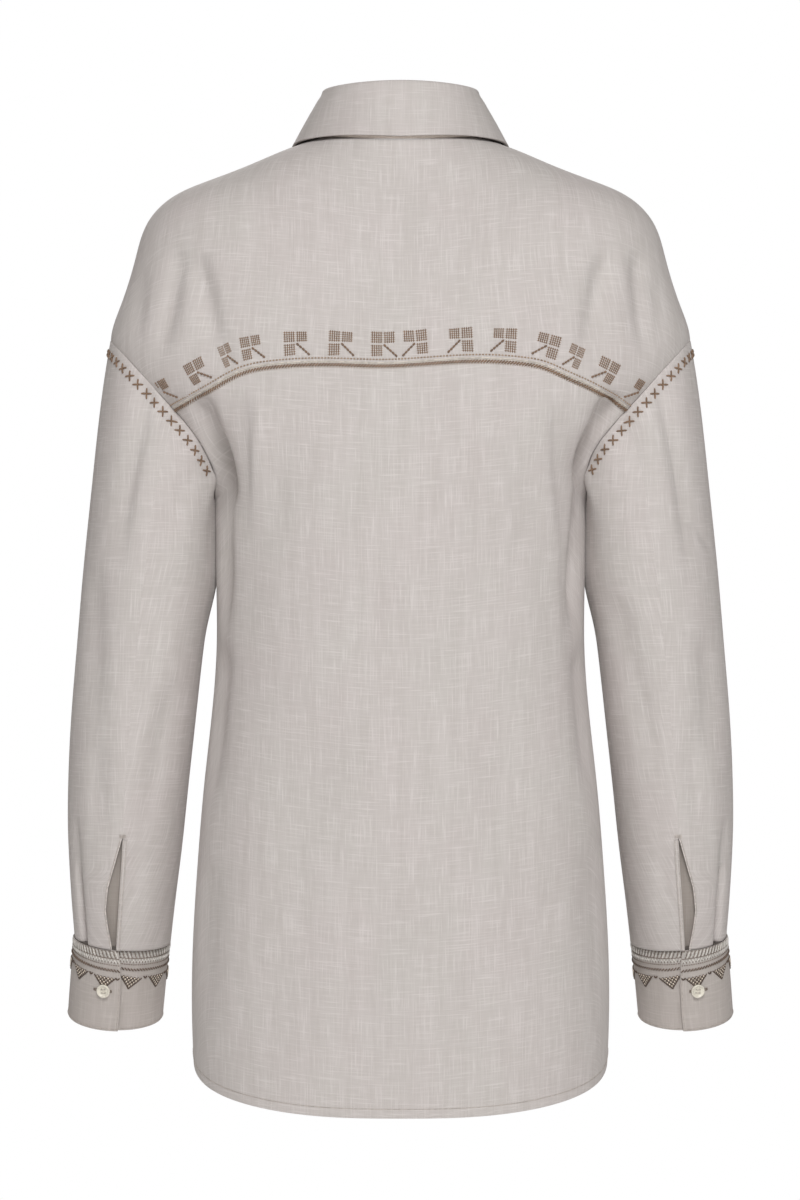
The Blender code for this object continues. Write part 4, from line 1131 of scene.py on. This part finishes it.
class Path:
    """A line over a surface. Designs are laid along it: x is the distance along the line and y the
    distance from it towards the top of the shirt, in millimetres."""

    def __init__(self, surface, a, b, plain=None):
        self.surface, self.plain = surface, plain or surface
        self.a, self.b = a, b
        self.points = self.plain(a, b)
        self.run = run_of(self.points)
        self.length = self.run[-1]
        self.ahead = unit(np.gradient(self.points, self.run, axis=0))
        out = unit(self.surface(a, b, 1.0) - self.surface(a, b, 0.0))
        self.side = unit(np.cross(out, self.ahead))
        if self.side[:, 2].mean() < 0:
            self.side = -self.side

    def places(self, x, y):
        """The surface's own two numbers at each x and y, reached in a few short steps."""
        x, y = same_shape(x, y)
        a, b = np.interp(x, self.run, self.a), np.interp(x, self.run, self.b)
        for _ in range(4):
            a, b = shifted(self.plain, a, b, self.read(self.side, x) * y[..., None] / 4)
        return a, b

    def read(self, vectors, x):
        """Vectors that are known at the line's points, at each x."""
        return np.stack([np.interp(x, self.run, column) for column in vectors.T], axis=-1)

    def design(self, x, y, rows, width):
        """A small stiff design, as rows of (x, y, x, y) round its own middle."""
        a, b = self.places(x, y)
        ahead, side = self.read(self.ahead, x), self.read(self.side, x)
        ends = []
        for column in (0, 2):
            part = np.array(rows)[:, column : column + 2]
            ends.append(shifted(self.plain, a, b, part[:, :1] * ahead + part[:, 1:] * side))
        return stitches_between(self.surface, *ends, width)

    def stitches(self, rows, width):
        """Stitches from rows of (x, y, x, y)."""
        x0, y0, x1, y1 = np.array(rows, float).T
        return stitches_between(self.surface, self.places(x0, y0), self.places(x1, y1), width)

    def repeat(self, pitch, shape, width):
        """One small shape, as rows of (x, y, x, y), repeated along the line at a pitch."""
        count = int(self.length / pitch)
        at = (np.arange(count) + 0.5) * self.length / count
        rows = [(x + r[0], r[1], x + r[2], r[3]) for x in at for r in shape]
        return self.stitches(rows, width)


def on_sleeve(side, height=0.0):
    """The outer surface of one sleeve, or one at a height above it, to lay a Path on."""
    return lambda turn, down, lift=0.0: sleeve(turn, down, side, height + lift)


def on_cuff(side):
    """The outer surface of one cuff."""
    return lambda turn, down, lift=0.0: cuff(turn, down, side, lap(CUFF_EDGE_TURN - turn) + lift)


# On the yoke, above its seam: a row of small motifs, each three counted squares and a stem. Below
# them run a line of dots, a pale cord and a brown ladder of slanting stitches on the seam itself.

# x of the motifs' middles, from the wearer's left to the right. Most lie about 35 mm apart, and
# some are narrower, where folds of the shoulders close them up.
MOTIF_X = (187.6, 160.5, 136.5, 116.8, 81.7, 46.6, 13.6,
           -11.7, -47.0, -81.2, -115.0, -136.9, -162.6, -188.4)
MOTIF_WIDTHS = {1: 0.92, 2: 0.56, 3: 0.88, 11: 0.68, 12: 0.95}
MOTIF_HEIGHT = 17.6  # of a motif's middle above the seam
SQUARE_SPACING, SQUARE_CELLS, CELL = 9.8, 5, 1.68
STEM, STEM_START, STEM_DASHES, STEM_DASH = 14.4, 1.2, 5, 0.54  # a dash takes that share of its step
# Half lengths and widths of its upright stitches and of the finer level ones that cross them.
UPRIGHT_HALF, UPRIGHT_WIDTH, LEVEL_HALF, LEVEL_WIDTH = 0.52, 0.82, 0.76, 0.46
STEM_WIDTH = 1.6
ROPE_Y, CORD_Y, DOTS_Y = -0.5, 2.2, 4.8  # of the rows along the seam, above it
CLEAR_OF_ARMHOLE = 3.0

seam_turns = YOKE_CORNER[0] * np.linspace(1, -1, 600)
seam_line = Path(body, seam_turns, solve_down(seam_turns, yoke_seam_z), smooth_body)


def squares(squeeze, across, along):
    """Level or upright stitches that fill a motif's three squares with a lattice."""
    cells = (np.arange(SQUARE_CELLS) - (SQUARE_CELLS - 1) / 2) * CELL
    rows = []
    for column, row in ((-1, 1), (1, 1), (-1, -1)):
        for x in column * SQUARE_SPACING / 2 + cells:
            for y in row * SQUARE_SPACING / 2 + cells:
                rows.append((squeeze * (x - across), y - along, squeeze * (x + across), y + along))
    return rows


def stem(squeeze):
    """A dashed slanting line in the motif's open quarter."""
    starts = STEM_START + np.arange(STEM_DASHES) * STEM / STEM_DASHES
    ends = starts + STEM_DASH * STEM / STEM_DASHES
    return [(squeeze * a * 0.74, -a * 0.7, squeeze * b * 0.74, -b * 0.7) for a, b in zip(starts, ends)]


yoke_brown = thread("yoke brown thread", YOKE_BROWN)
motifs, ties = [], []
motif_line = seam_line.points + seam_line.side * MOTIF_HEIGHT
for i, x in enumerate(MOTIF_X):
    at = np.interp(-x, -motif_line[:, 0], seam_line.run)
    squeeze = math.copysign(MOTIF_WIDTHS.get(i, 1.0), x)  # the left half faces the right half
    for made, rows, width in (
            (motifs, squares(squeeze, 0.0, UPRIGHT_HALF), UPRIGHT_WIDTH * abs(squeeze)),
            (ties, squares(squeeze, LEVEL_HALF, 0.0), LEVEL_WIDTH),
            (motifs, stem(squeeze), STEM_WIDTH)):
        made.append(seam_line.design(at, MOTIF_HEIGHT, rows, width))


def on_yoke(stitches):
    """Leaves out the stitches that would run into the armholes."""
    both_ends = np.stack(stitches[:2])
    outer, lowest = np.abs(both_ends[..., 0]).max(axis=0), both_ends[..., 2].min(axis=0)
    edge = smooth_body(*armhole(np.linspace(1, 90, 90)))
    kept = outer < np.interp(-lowest, -edge[:, 2], edge[:, 0]) - CLEAR_OF_ARMHOLE
    return [values[kept] for values in stitches]


ladder = seam_line.repeat(2.35, [(-0.85, ROPE_Y - 0.75, 0.85, ROPE_Y + 0.75)], 1.3)
sewn("yoke_embroidery", [on_yoke(part) for part in motifs] + [ladder], yoke_brown)
tan = thread("tan thread", TAN)
dots = seam_line.repeat(2.5, [(-0.5, DOTS_Y, 0.5, DOTS_Y)], 1.15)
lower_dots = seam_line.repeat(1.9, [(-0.3, ROPE_Y - 1.9, 0.3, ROPE_Y - 1.9)], 0.5)
sewn("yoke_dots", [on_yoke(part) for part in ties] + [dots, lower_dots], tan)
pale_thread = thread("pale thread", PALE)
cord = seam_line.repeat(2.6, [(-1.6, CORD_Y, 1.6, CORD_Y)], 0.75)
edges = seam_line.repeat(1.9, [(-x, ROPE_Y + y, x, ROPE_Y + y) for x, y in ((0.9, 0), (0.7, 1.6))], 0.5)
sewn("yoke_cord", [cord, edges], pale_thread)

# Round each armhole, on the sleeve, runs a row of crosses whose legs lie aslant to the seam. The
# underarm is left plain.
CROSS_FROM_SEAM, CROSS_PITCH, CROSS_HALF = 9.4, 10.0, 2.4
CROSS_GAP = 0.16  # at the middle of a cross, where its four arms don't meet
UNDERARM_Z = -263.0  # no cross lies below this

for word, side in SIDES:
    surface = on_sleeve(side)
    round_seam, away = np.linspace(0, 360, 500), np.linspace(0, 30, 31)
    reach = surface(round_seam[:, None], away) - surface(round_seam, 0.0)[:, None]
    far = [np.interp(CROSS_FROM_SEAM, row, away) for row in np.linalg.norm(reach, axis=-1)]
    line = Path(surface, round_seam, np.array(far))
    count = round(line.length / CROSS_PITCH)
    at = np.arange(count) * line.length / count
    at = at[line.read(line.points, at)[:, 2] > UNDERARM_Z]
    turn, down = line.places(at, 0.0)
    level, upwards = line.read(line.ahead, at), line.read(line.side, at)
    crosses = []
    for way in (1, -1):
        arm = (upwards * way + level) * CROSS_HALF
        for shares in ((-1.0, -CROSS_GAP), (CROSS_GAP, 1.0)):
            ends = [shifted(surface, turn, down, arm * share) for share in shares]
            crosses.append(stitches_between(surface, *ends, 1.45))
    sewn(f"armhole_crosses_{word}", crosses, yoke_brown)

# On each cuff, from its top seam down: a wide row of slanting silvery stitches, a dashed line, a
# silvery zigzag, a row of dots, a dark rope line and a row of open latticed triangles.
ROW_1, DASHES, ROW_2, CUFF_DOTS, ROPE = 3.2, 6.6, 9.0, 12.2, 16.8
TRIANGLE_TOP, TRIANGLE_STEPS, LATTICE = 23.2, 6, 3.05
LATTICE_DOWN = LATTICE / 2 * 1.12  # from one row of its cells to the next
LATTICE_GAP, FILLING_HALF = 0.2, 0.45  # at a stitch's ends, and half a filling stitch's length
# The rows lie nearer the top seam in places: degrees round from the over edge, and the share.
DRAWN_UP_AT, DRAWN_UP_BY = (0, 25, 80, 180, 280, 342, 361), (0.93, 0.88, 0.7, 0.82, 0.95, 0.89, 0.8)
TRIANGLES, FIRST_TRIANGLE, LAST_TRIANGLE = 10, 12.7, 11.2  # from the over edge, on either side


def lattice():
    """Rows of (x, y, x, y) of one inverted triangle, from the middle of its top edge."""
    rows = []
    for i in range(TRIANGLE_STEPS + 1):
        for j in range(TRIANGLE_STEPS - i):
            x, y = (i + j / 2 - TRIANGLE_STEPS / 2) * LATTICE, -j * LATTICE_DOWN
            near, far = x + LATTICE_GAP, x + LATTICE / 2 - LATTICE_GAP
            top, bottom = y - LATTICE_GAP, y - LATTICE_DOWN + LATTICE_GAP
            rows += [(way * near, top, way * far, bottom) for way in (1, -1)]
    return rows


def fillings():
    """The pale upright stitches in the open cells of a triangle."""
    rows = []
    for j in range(TRIANGLE_STEPS - 1):
        for i in range(TRIANGLE_STEPS - 1 - j):
            x, y = (i + 1 + j / 2 - TRIANGLE_STEPS / 2) * LATTICE, -(j + 0.5) * LATTICE_DOWN
            rows.append((x, y - FILLING_HALF, x, y + FILLING_HALF))
    return rows


BETWEEN = ((-1.3, 0.1, -0.3, -1.0), (0.3, -1.0, 1.3, 0.1))  # the small peak between two triangles
cuff_brown, silver = thread("cuff brown thread", CUFF_BROWN), thread("silvery thread", SILVER, 0.6)
taupe, cream_thread = thread("taupe thread", TAUPE), thread("cream thread", CREAM)
rope_brown = thread("rope brown thread", ROPE_BROWN)
for word, side in SIDES:

    def cuff_line(down):
        """A line round the cuff at a distance below its top seam, drawn up where the rows are."""
        sweep = np.linspace(0.8, 361, 500)
        downs = down * np.interp(sweep, DRAWN_UP_AT, DRAWN_UP_BY)
        return Path(on_cuff(side), cuff_turn(sweep, downs), downs)

    # Each repeat says its pitch, its stitches as (x, y, x, y) and how wide they are.
    wide, zigzag, rope, tops = map(cuff_line, (ROW_1, ROW_2, ROPE, TRIANGLE_TOP))
    shiny = [wide.repeat(3.2, [(-0.8, -1.8, 0.8, 1.8)], 1.05),
             wide.repeat(3.2, [(0.7, -1.3, -0.7, 1.3)], 0.5),
             zigzag.repeat(2.6, [(-1.3, -1.1, 0, 1.1), (0, 1.1, 1.3, -1.1)], 0.75)]
    dull = [wide.repeat(3.2, [(0.85, -2.0, 2.35, 1.6)], 0.65),
            cuff_line(0.5).repeat(2.2, [(-0.8, 0, 0.8, 0)], 0.5),
            cuff_line(DASHES).repeat(2.2, [(-0.75, 0, 0.75, 0)], 0.6),
            zigzag.repeat(2.6, [(0, -1.3, 0.0, -0.3)], 0.55),
            cuff_line(CUFF_DOTS).repeat(1.9, [(-0.4, 0, 0.4, 0)], 0.75)]
    places = np.linspace(FIRST_TRIANGLE, tops.length - LAST_TRIANGLE, TRIANGLES)
    dark = [tops.design(at, 0.0, lattice(), 0.9) for at in places]
    dark += [tops.design(at, 0.0, BETWEEN, 1.2) for at in (2.2, *(places[1:] + places[:-1]) / 2)]
    sewn(f"cuff_triangles_{word}", dark, cuff_brown)
    sewn(f"cuff_rope_{word}", [rope.repeat(2.5, [(-0.8, -0.65, 0.8, 0.65)], 1.1)], rope_brown)
    sewn(f"cuff_silver_{word}", shiny, silver)
    pale_stitches = [tops.design(at, 0.0, fillings(), 1.4) for at in places]
    sewn(f"cuff_triangle_fillings_{word}", pale_stitches, cream_thread)
    sewn(f"cuff_lines_{word}", dull, taupe)

# --------------------
# Sewing thread: a row of stitches above the hem all round, along both edges of the front band and
# round the cuffs and slit, in cotton of the cloth's own colour.

STITCH, SEWING_THREAD = 2.6, 0.42
sewing = thread("sewing thread", (0.50, 0.45, 0.41, 1.0), 0.1)
rolled_linen = thread("rolled linen", (0.66, 0.61, 0.58, 1.0), 0.1)


def seam_stitches(surface, turns, downs, pitch=STITCH, width=SEWING_THREAD):
    """A row of stitches along a line on a surface, each two thirds as long as its step."""
    path = Path(surface, turns, np.broadcast_to(downs, np.shape(turns)))
    return path.repeat(pitch, [(-pitch * 0.34, 0.0, pitch * 0.34, 0.0)], width)


rows = []
for turns in (hem_turns, np.linspace(90.5, 171.5, 200), -np.linspace(90.5, 171.5, 200)):
    above_hem = solve_down(turns, lambda x, turn: hem_z(x, turn) + HEM_DEPTH)
    rows.append(seam_stitches(body, turns, above_hem))
sewn("hem_stitches", rows, sewing)


def on_band(turn, down, lift=0.0):
    """The outer surface of the front band."""
    return body(turn, down, BAND_LIFT + lift)


downs, from_middle = np.linspace(3.0, band_end - 4.0, 400), BAND_WIDTH / 2 - 2.0
rows = [seam_stitches(on_band, front_turn(downs, x), downs) for x in (-from_middle, from_middle)]
sewn("band_stitches", rows, sewing)

BINDING_STITCH, SLIT_STITCH, ROLL_STITCH = 2.0, 2.4, 1.5
for word, side in SIDES:
    near_bottom, near_edge = CUFF_DEPTH - 1.8, np.linspace(2.0, CUFF_DEPTH - 2.0, 60)
    around = cuff_turn(np.linspace(1, 361, 500), near_bottom)
    rows = [seam_stitches(on_cuff(side), around, near_bottom),
            seam_stitches(on_cuff(side), cuff_turn(2.4, near_edge), near_edge)]
    downs = binding_downs[:, 0]
    over, under = slit_turns(downs, side)
    for inset in (0.8, BINDING_WIDTH - 0.9):
        turns = under + math.degrees(inset / WRIST_RADIUS)
        rows.append(seam_stitches(on_sleeve(side, BINDING_LINEN + SEAM), turns, downs, BINDING_STITCH))
    rows.append(seam_stitches(on_sleeve(side), over - 1.6, downs, SLIT_STITCH, 0.35))
    tack = Path(on_sleeve(side), np.array([86.5, 93.5]), np.full(2, SLIT_START - 1.0))
    rows.append(tack.repeat(0.7, [(0.0, -0.9, 0.1, 0.9)], 0.45))
    sewn(f"cuff_and_slit_stitches_{word}", rows, sewing)
    roll = Path(on_sleeve(side), over - 0.5, downs)
    roll = roll.repeat(ROLL_STITCH, [(-ROLL_STITCH, 0.0, ROLL_STITCH, 0.0)], 0.95)
    sewn(f"slit_rolled_edge_{word}", [roll], rolled_linen)

# --------------------
# Cream buttons of cast resin or shell: a rounded rim round a shallow dish with four holes, sewn on
# with two bars of thread. The holes are not cut through: each is a dark disc of painted shade.
# Each takes the place of one of the CAD's buttons. The buttonholes of the cuffs and of the front
# band are stitched under them.

BUTTON_RADIUS, BUTTON_THICK, BUTTON_STEPS = 5.6, 2.3, 40
# Its rings, from the dish over the rim to the back, as shares of the radius and of the thickness.
BUTTON_PROFILE = ((0.45, 0.45), (0.62, 0.5), (0.72, 0.72), (0.8, 0.93), (0.88, 1.0),
                  (0.95, 0.92), (0.99, 0.7), (1.0, 0.45), (0.97, 0.15), (0.9, 0.0))
HOLE_RADIUS, HOLE_SPREAD = 0.72, 1.35  # the four holes lie so far from the two middle lines


def button_material(name, colour, roughness):
    made, tree = new_material(name, {"Roughness": roughness})
    place = node(tree, "ShaderNodeTexCoord").outputs["Object"]
    clouds = noise(tree, place, 420.0, 4.0, distortion=1.2)
    darker = tuple(c * 0.86 for c in colour[:3]) + (1.0,)
    clouded = mixed(tree, ranged(tree, clouds, 0.35, 0.65), darker, colour)
    feed_shader(tree, clouded, clouds, 0.08, 0.0002)
    return made


resin = button_material("cream button", (0.80, 0.76, 0.66, 1.0), 0.32)
# The holes' material is near black: painted shade, as no hole is cut through the button.
painted_hole_shade = button_material("button hole", (0.10, 0.085, 0.07, 1.0), 0.8)


def button(name, middle, out, level):
    """A button from the middle of its back, its way out and its level line, and its thread."""
    upright = np.cross(out, level)
    turns = np.linspace(0, math.tau, BUTTON_STEPS + 1)[:-1]
    points, faces = [], []

    def ring(x, y, radius, height, turns):
        """Adds a ring of points and says which numbers they have."""
        first = len(points)
        points.extend((x + radius * math.cos(a), y + radius * math.sin(a), height) for a in turns)
        return list(range(first, len(points)))

    rings = [ring(0, 0, BUTTON_RADIUS * share, BUTTON_THICK * height, turns)
             for share, height in BUTTON_PROFILE]
    for above, below in zip(rings, rings[1:]):
        for i in range(BUTTON_STEPS):
            j = (i + 1) % BUTTON_STEPS
            faces.append((above[i], below[i], below[j], above[j]))
    faces += [rings[0], rings[-1][::-1]]
    solid_faces = len(faces)
    # Each hole is a flat dark disc just above the dish: painted shade.
    for x in (-HOLE_SPREAD, HOLE_SPREAD):
        for y in (-HOLE_SPREAD, HOLE_SPREAD):
            faces.append(ring(x, y, HOLE_RADIUS, BUTTON_THICK * 0.45 + 0.03, turns[::4]))
    placed = middle + np.array(points) @ np.array([level, upright, out])
    mesh = bpy.data.meshes.new(name)
    mesh.from_pydata((placed * MM).tolist(), [], faces)
    mesh.materials.append(resin)
    mesh.materials.append(painted_hole_shade)
    for polygon in mesh.polygons:
        polygon.material_index = int(polygon.index >= solid_faces)
    mesh.shade_smooth()
    piece = in_scene(name, mesh)
    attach(piece, "root")
    bars = []
    for y in (-HOLE_SPREAD, HOLE_SPREAD):
        for nudge in (-0.3, 0.3):
            ends = [middle + level * x + upright * (y + nudge) + out * (BUTTON_THICK * 0.5 + 0.1)
                    for x in (-HOLE_SPREAD, HOLE_SPREAD)]
            bars.append([np.array([end]) for end in ends] + [out[None], np.array([0.5])])
    return piece, bars


def buttonhole(path, at, half):
    """Close stitches on both sides of a cut along a path, with a bar at each end."""
    rows = []
    for place in np.arange(-half, half + 0.01, 0.55):
        rows += [(place, way * 0.25, place + 0.1, way * 1.15) for way in (1, -1)]
    for end in (-half - 0.5, half + 0.5):
        rows += [(end - 0.4, place, end + 0.4, place) for place in np.arange(-0.9, 0.91, 0.45)]
    return path.design(at, 0.0, rows, 0.4)


def nearest(path, point):
    """Distance along a path of its nearest place to a point."""
    return path.run[np.linalg.norm(path.points - point, axis=-1).argmin()]


cad_buttons = {piece.name: np.array([piece.matrix_world @ v.co for v in piece.data.vertices]) / MM
               for piece in bpy.context.scene.objects if "button_" in piece.name}
band_middle = Path(on_band, np.full(900, 180.0), np.linspace(1.0, band_end - 1.0, 900))
all_bars, all_holes = [], []
for name, corners in sorted(cad_buttons.items()):
    on_a_cuff = name.startswith("cuff")
    middle = corners.mean(axis=0)
    out = np.linalg.svd(corners - middle, full_matrices=False)[2][2]
    out = out * np.sign(out[1]) * (1 if on_a_cuff else -1)
    level = unit(np.cross(out, (0.0, 0.0, 1.0)))
    low = ((corners - middle) @ out).min()
    made, bars = button(f"{name}_resin", middle + out * low, out, level)
    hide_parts(name)
    all_bars += bars
    if on_a_cuff:
        side = 1 if name.endswith("left") else -1

        def miss(down):
            """How far from the button the cuff passes at this distance from its top edge."""
            line = cuff(CUFF_EDGE_TURN - np.linspace(0, 60, 200), down, side)
            return np.linalg.norm(line - middle, axis=-1).min()

        down = min(np.linspace(20, 60, 81), key=miss)
        path = Path(on_cuff(side), CUFF_EDGE_TURN - np.linspace(-4, 60, 400), np.full(400, down))
        all_holes.append(buttonhole(path, nearest(path, middle) + 1.2, 6.8))
    elif not name.endswith("1"):  # the top button is on the neck stand, and its hole is left out
        all_holes.append(buttonhole(band_middle, nearest(band_middle, middle), 7.0))
sewn("button_threads", all_bars, pale_thread)
sewn("buttonholes", all_holes, taupe)

# --------------------
# The studio is a white room: a pale floor well below the shirt, one very large soft light behind
# the camera, weaker ones below it and to each side, one for the front, and an even white surround.

LIGHTS_AIM_AT = (0.0, 0.0, -0.38)
# Name, place, size in metres and power in watts.
SOFT_LIGHTS = (("light behind the camera", (-0.25, 3.1, 1.8), 1.3, 88.0),
               ("light below the camera", (-0.3, 3.5, -0.9), 1.3, 11.0),
               ("light from the left", (2.6, 2.4, 0.4), 1.6, 5.0),
               ("light from the right", (-2.8, 2.0, 0.2), 1.6, 5.0),
               ("light on the front", (0.4, -3.0, 1.2), 1.6, 62.0))
for name, place, size, watts in SOFT_LIGHTS:
    lamp = in_scene(name, bpy.data.lights.new(name, "AREA"))
    lamp.data.shape, lamp.data.size, lamp.data.energy = "DISK", size, watts
    lamp.location = place
    way = np.subtract(LIGHTS_AIM_AT, place)
    lamp.rotation_euler = (math.acos(-way[2] / np.linalg.norm(way)), 0.0,
                           math.atan2(way[1], way[0]) - math.pi / 2)

world = bpy.data.worlds.new("white room")
world.use_nodes = True
tree = world.node_tree
surround = tree.nodes["Background"]
seen = node(tree, "ShaderNodeLightPath").outputs["Is Camera Ray"]
tree.links.new(ranged(tree, seen, 0.0, 1.0, 0.19, 1.0), surround.inputs["Strength"])
warm_white, white = (1.0, 0.92, 0.86, 1.0), (1.0, 1.0, 1.0, 1.0)
tree.links.new(mixed(tree, seen, warm_white, white), surround.inputs["Color"])
bpy.context.scene.world = world
bpy.context.scene.view_settings.view_transform = "Standard"

FLOOR_Z, FLOOR_RADIUS, FLOOR_SIDES = -1.55, 5.5, 64
turns = np.linspace(0, math.tau, FLOOR_SIDES + 1)[:-1]
rim = [(FLOOR_RADIUS * math.cos(turn), FLOOR_RADIUS * math.sin(turn), FLOOR_Z) for turn in turns]
floor = in_scene("floor", bpy.data.meshes.new("floor"))
floor.data.from_pydata(rim, [], [list(range(FLOOR_SIDES))])
pale, _ = new_material("pale floor", {"Base Color": (0.86, 0.86, 0.85, 1.0), "Roughness": 0.9,
                                      "Emission Color": (1.0, 1.0, 1.0, 1.0),
                                      "Emission Strength": 0.22})
floor.data.materials.append(pale)
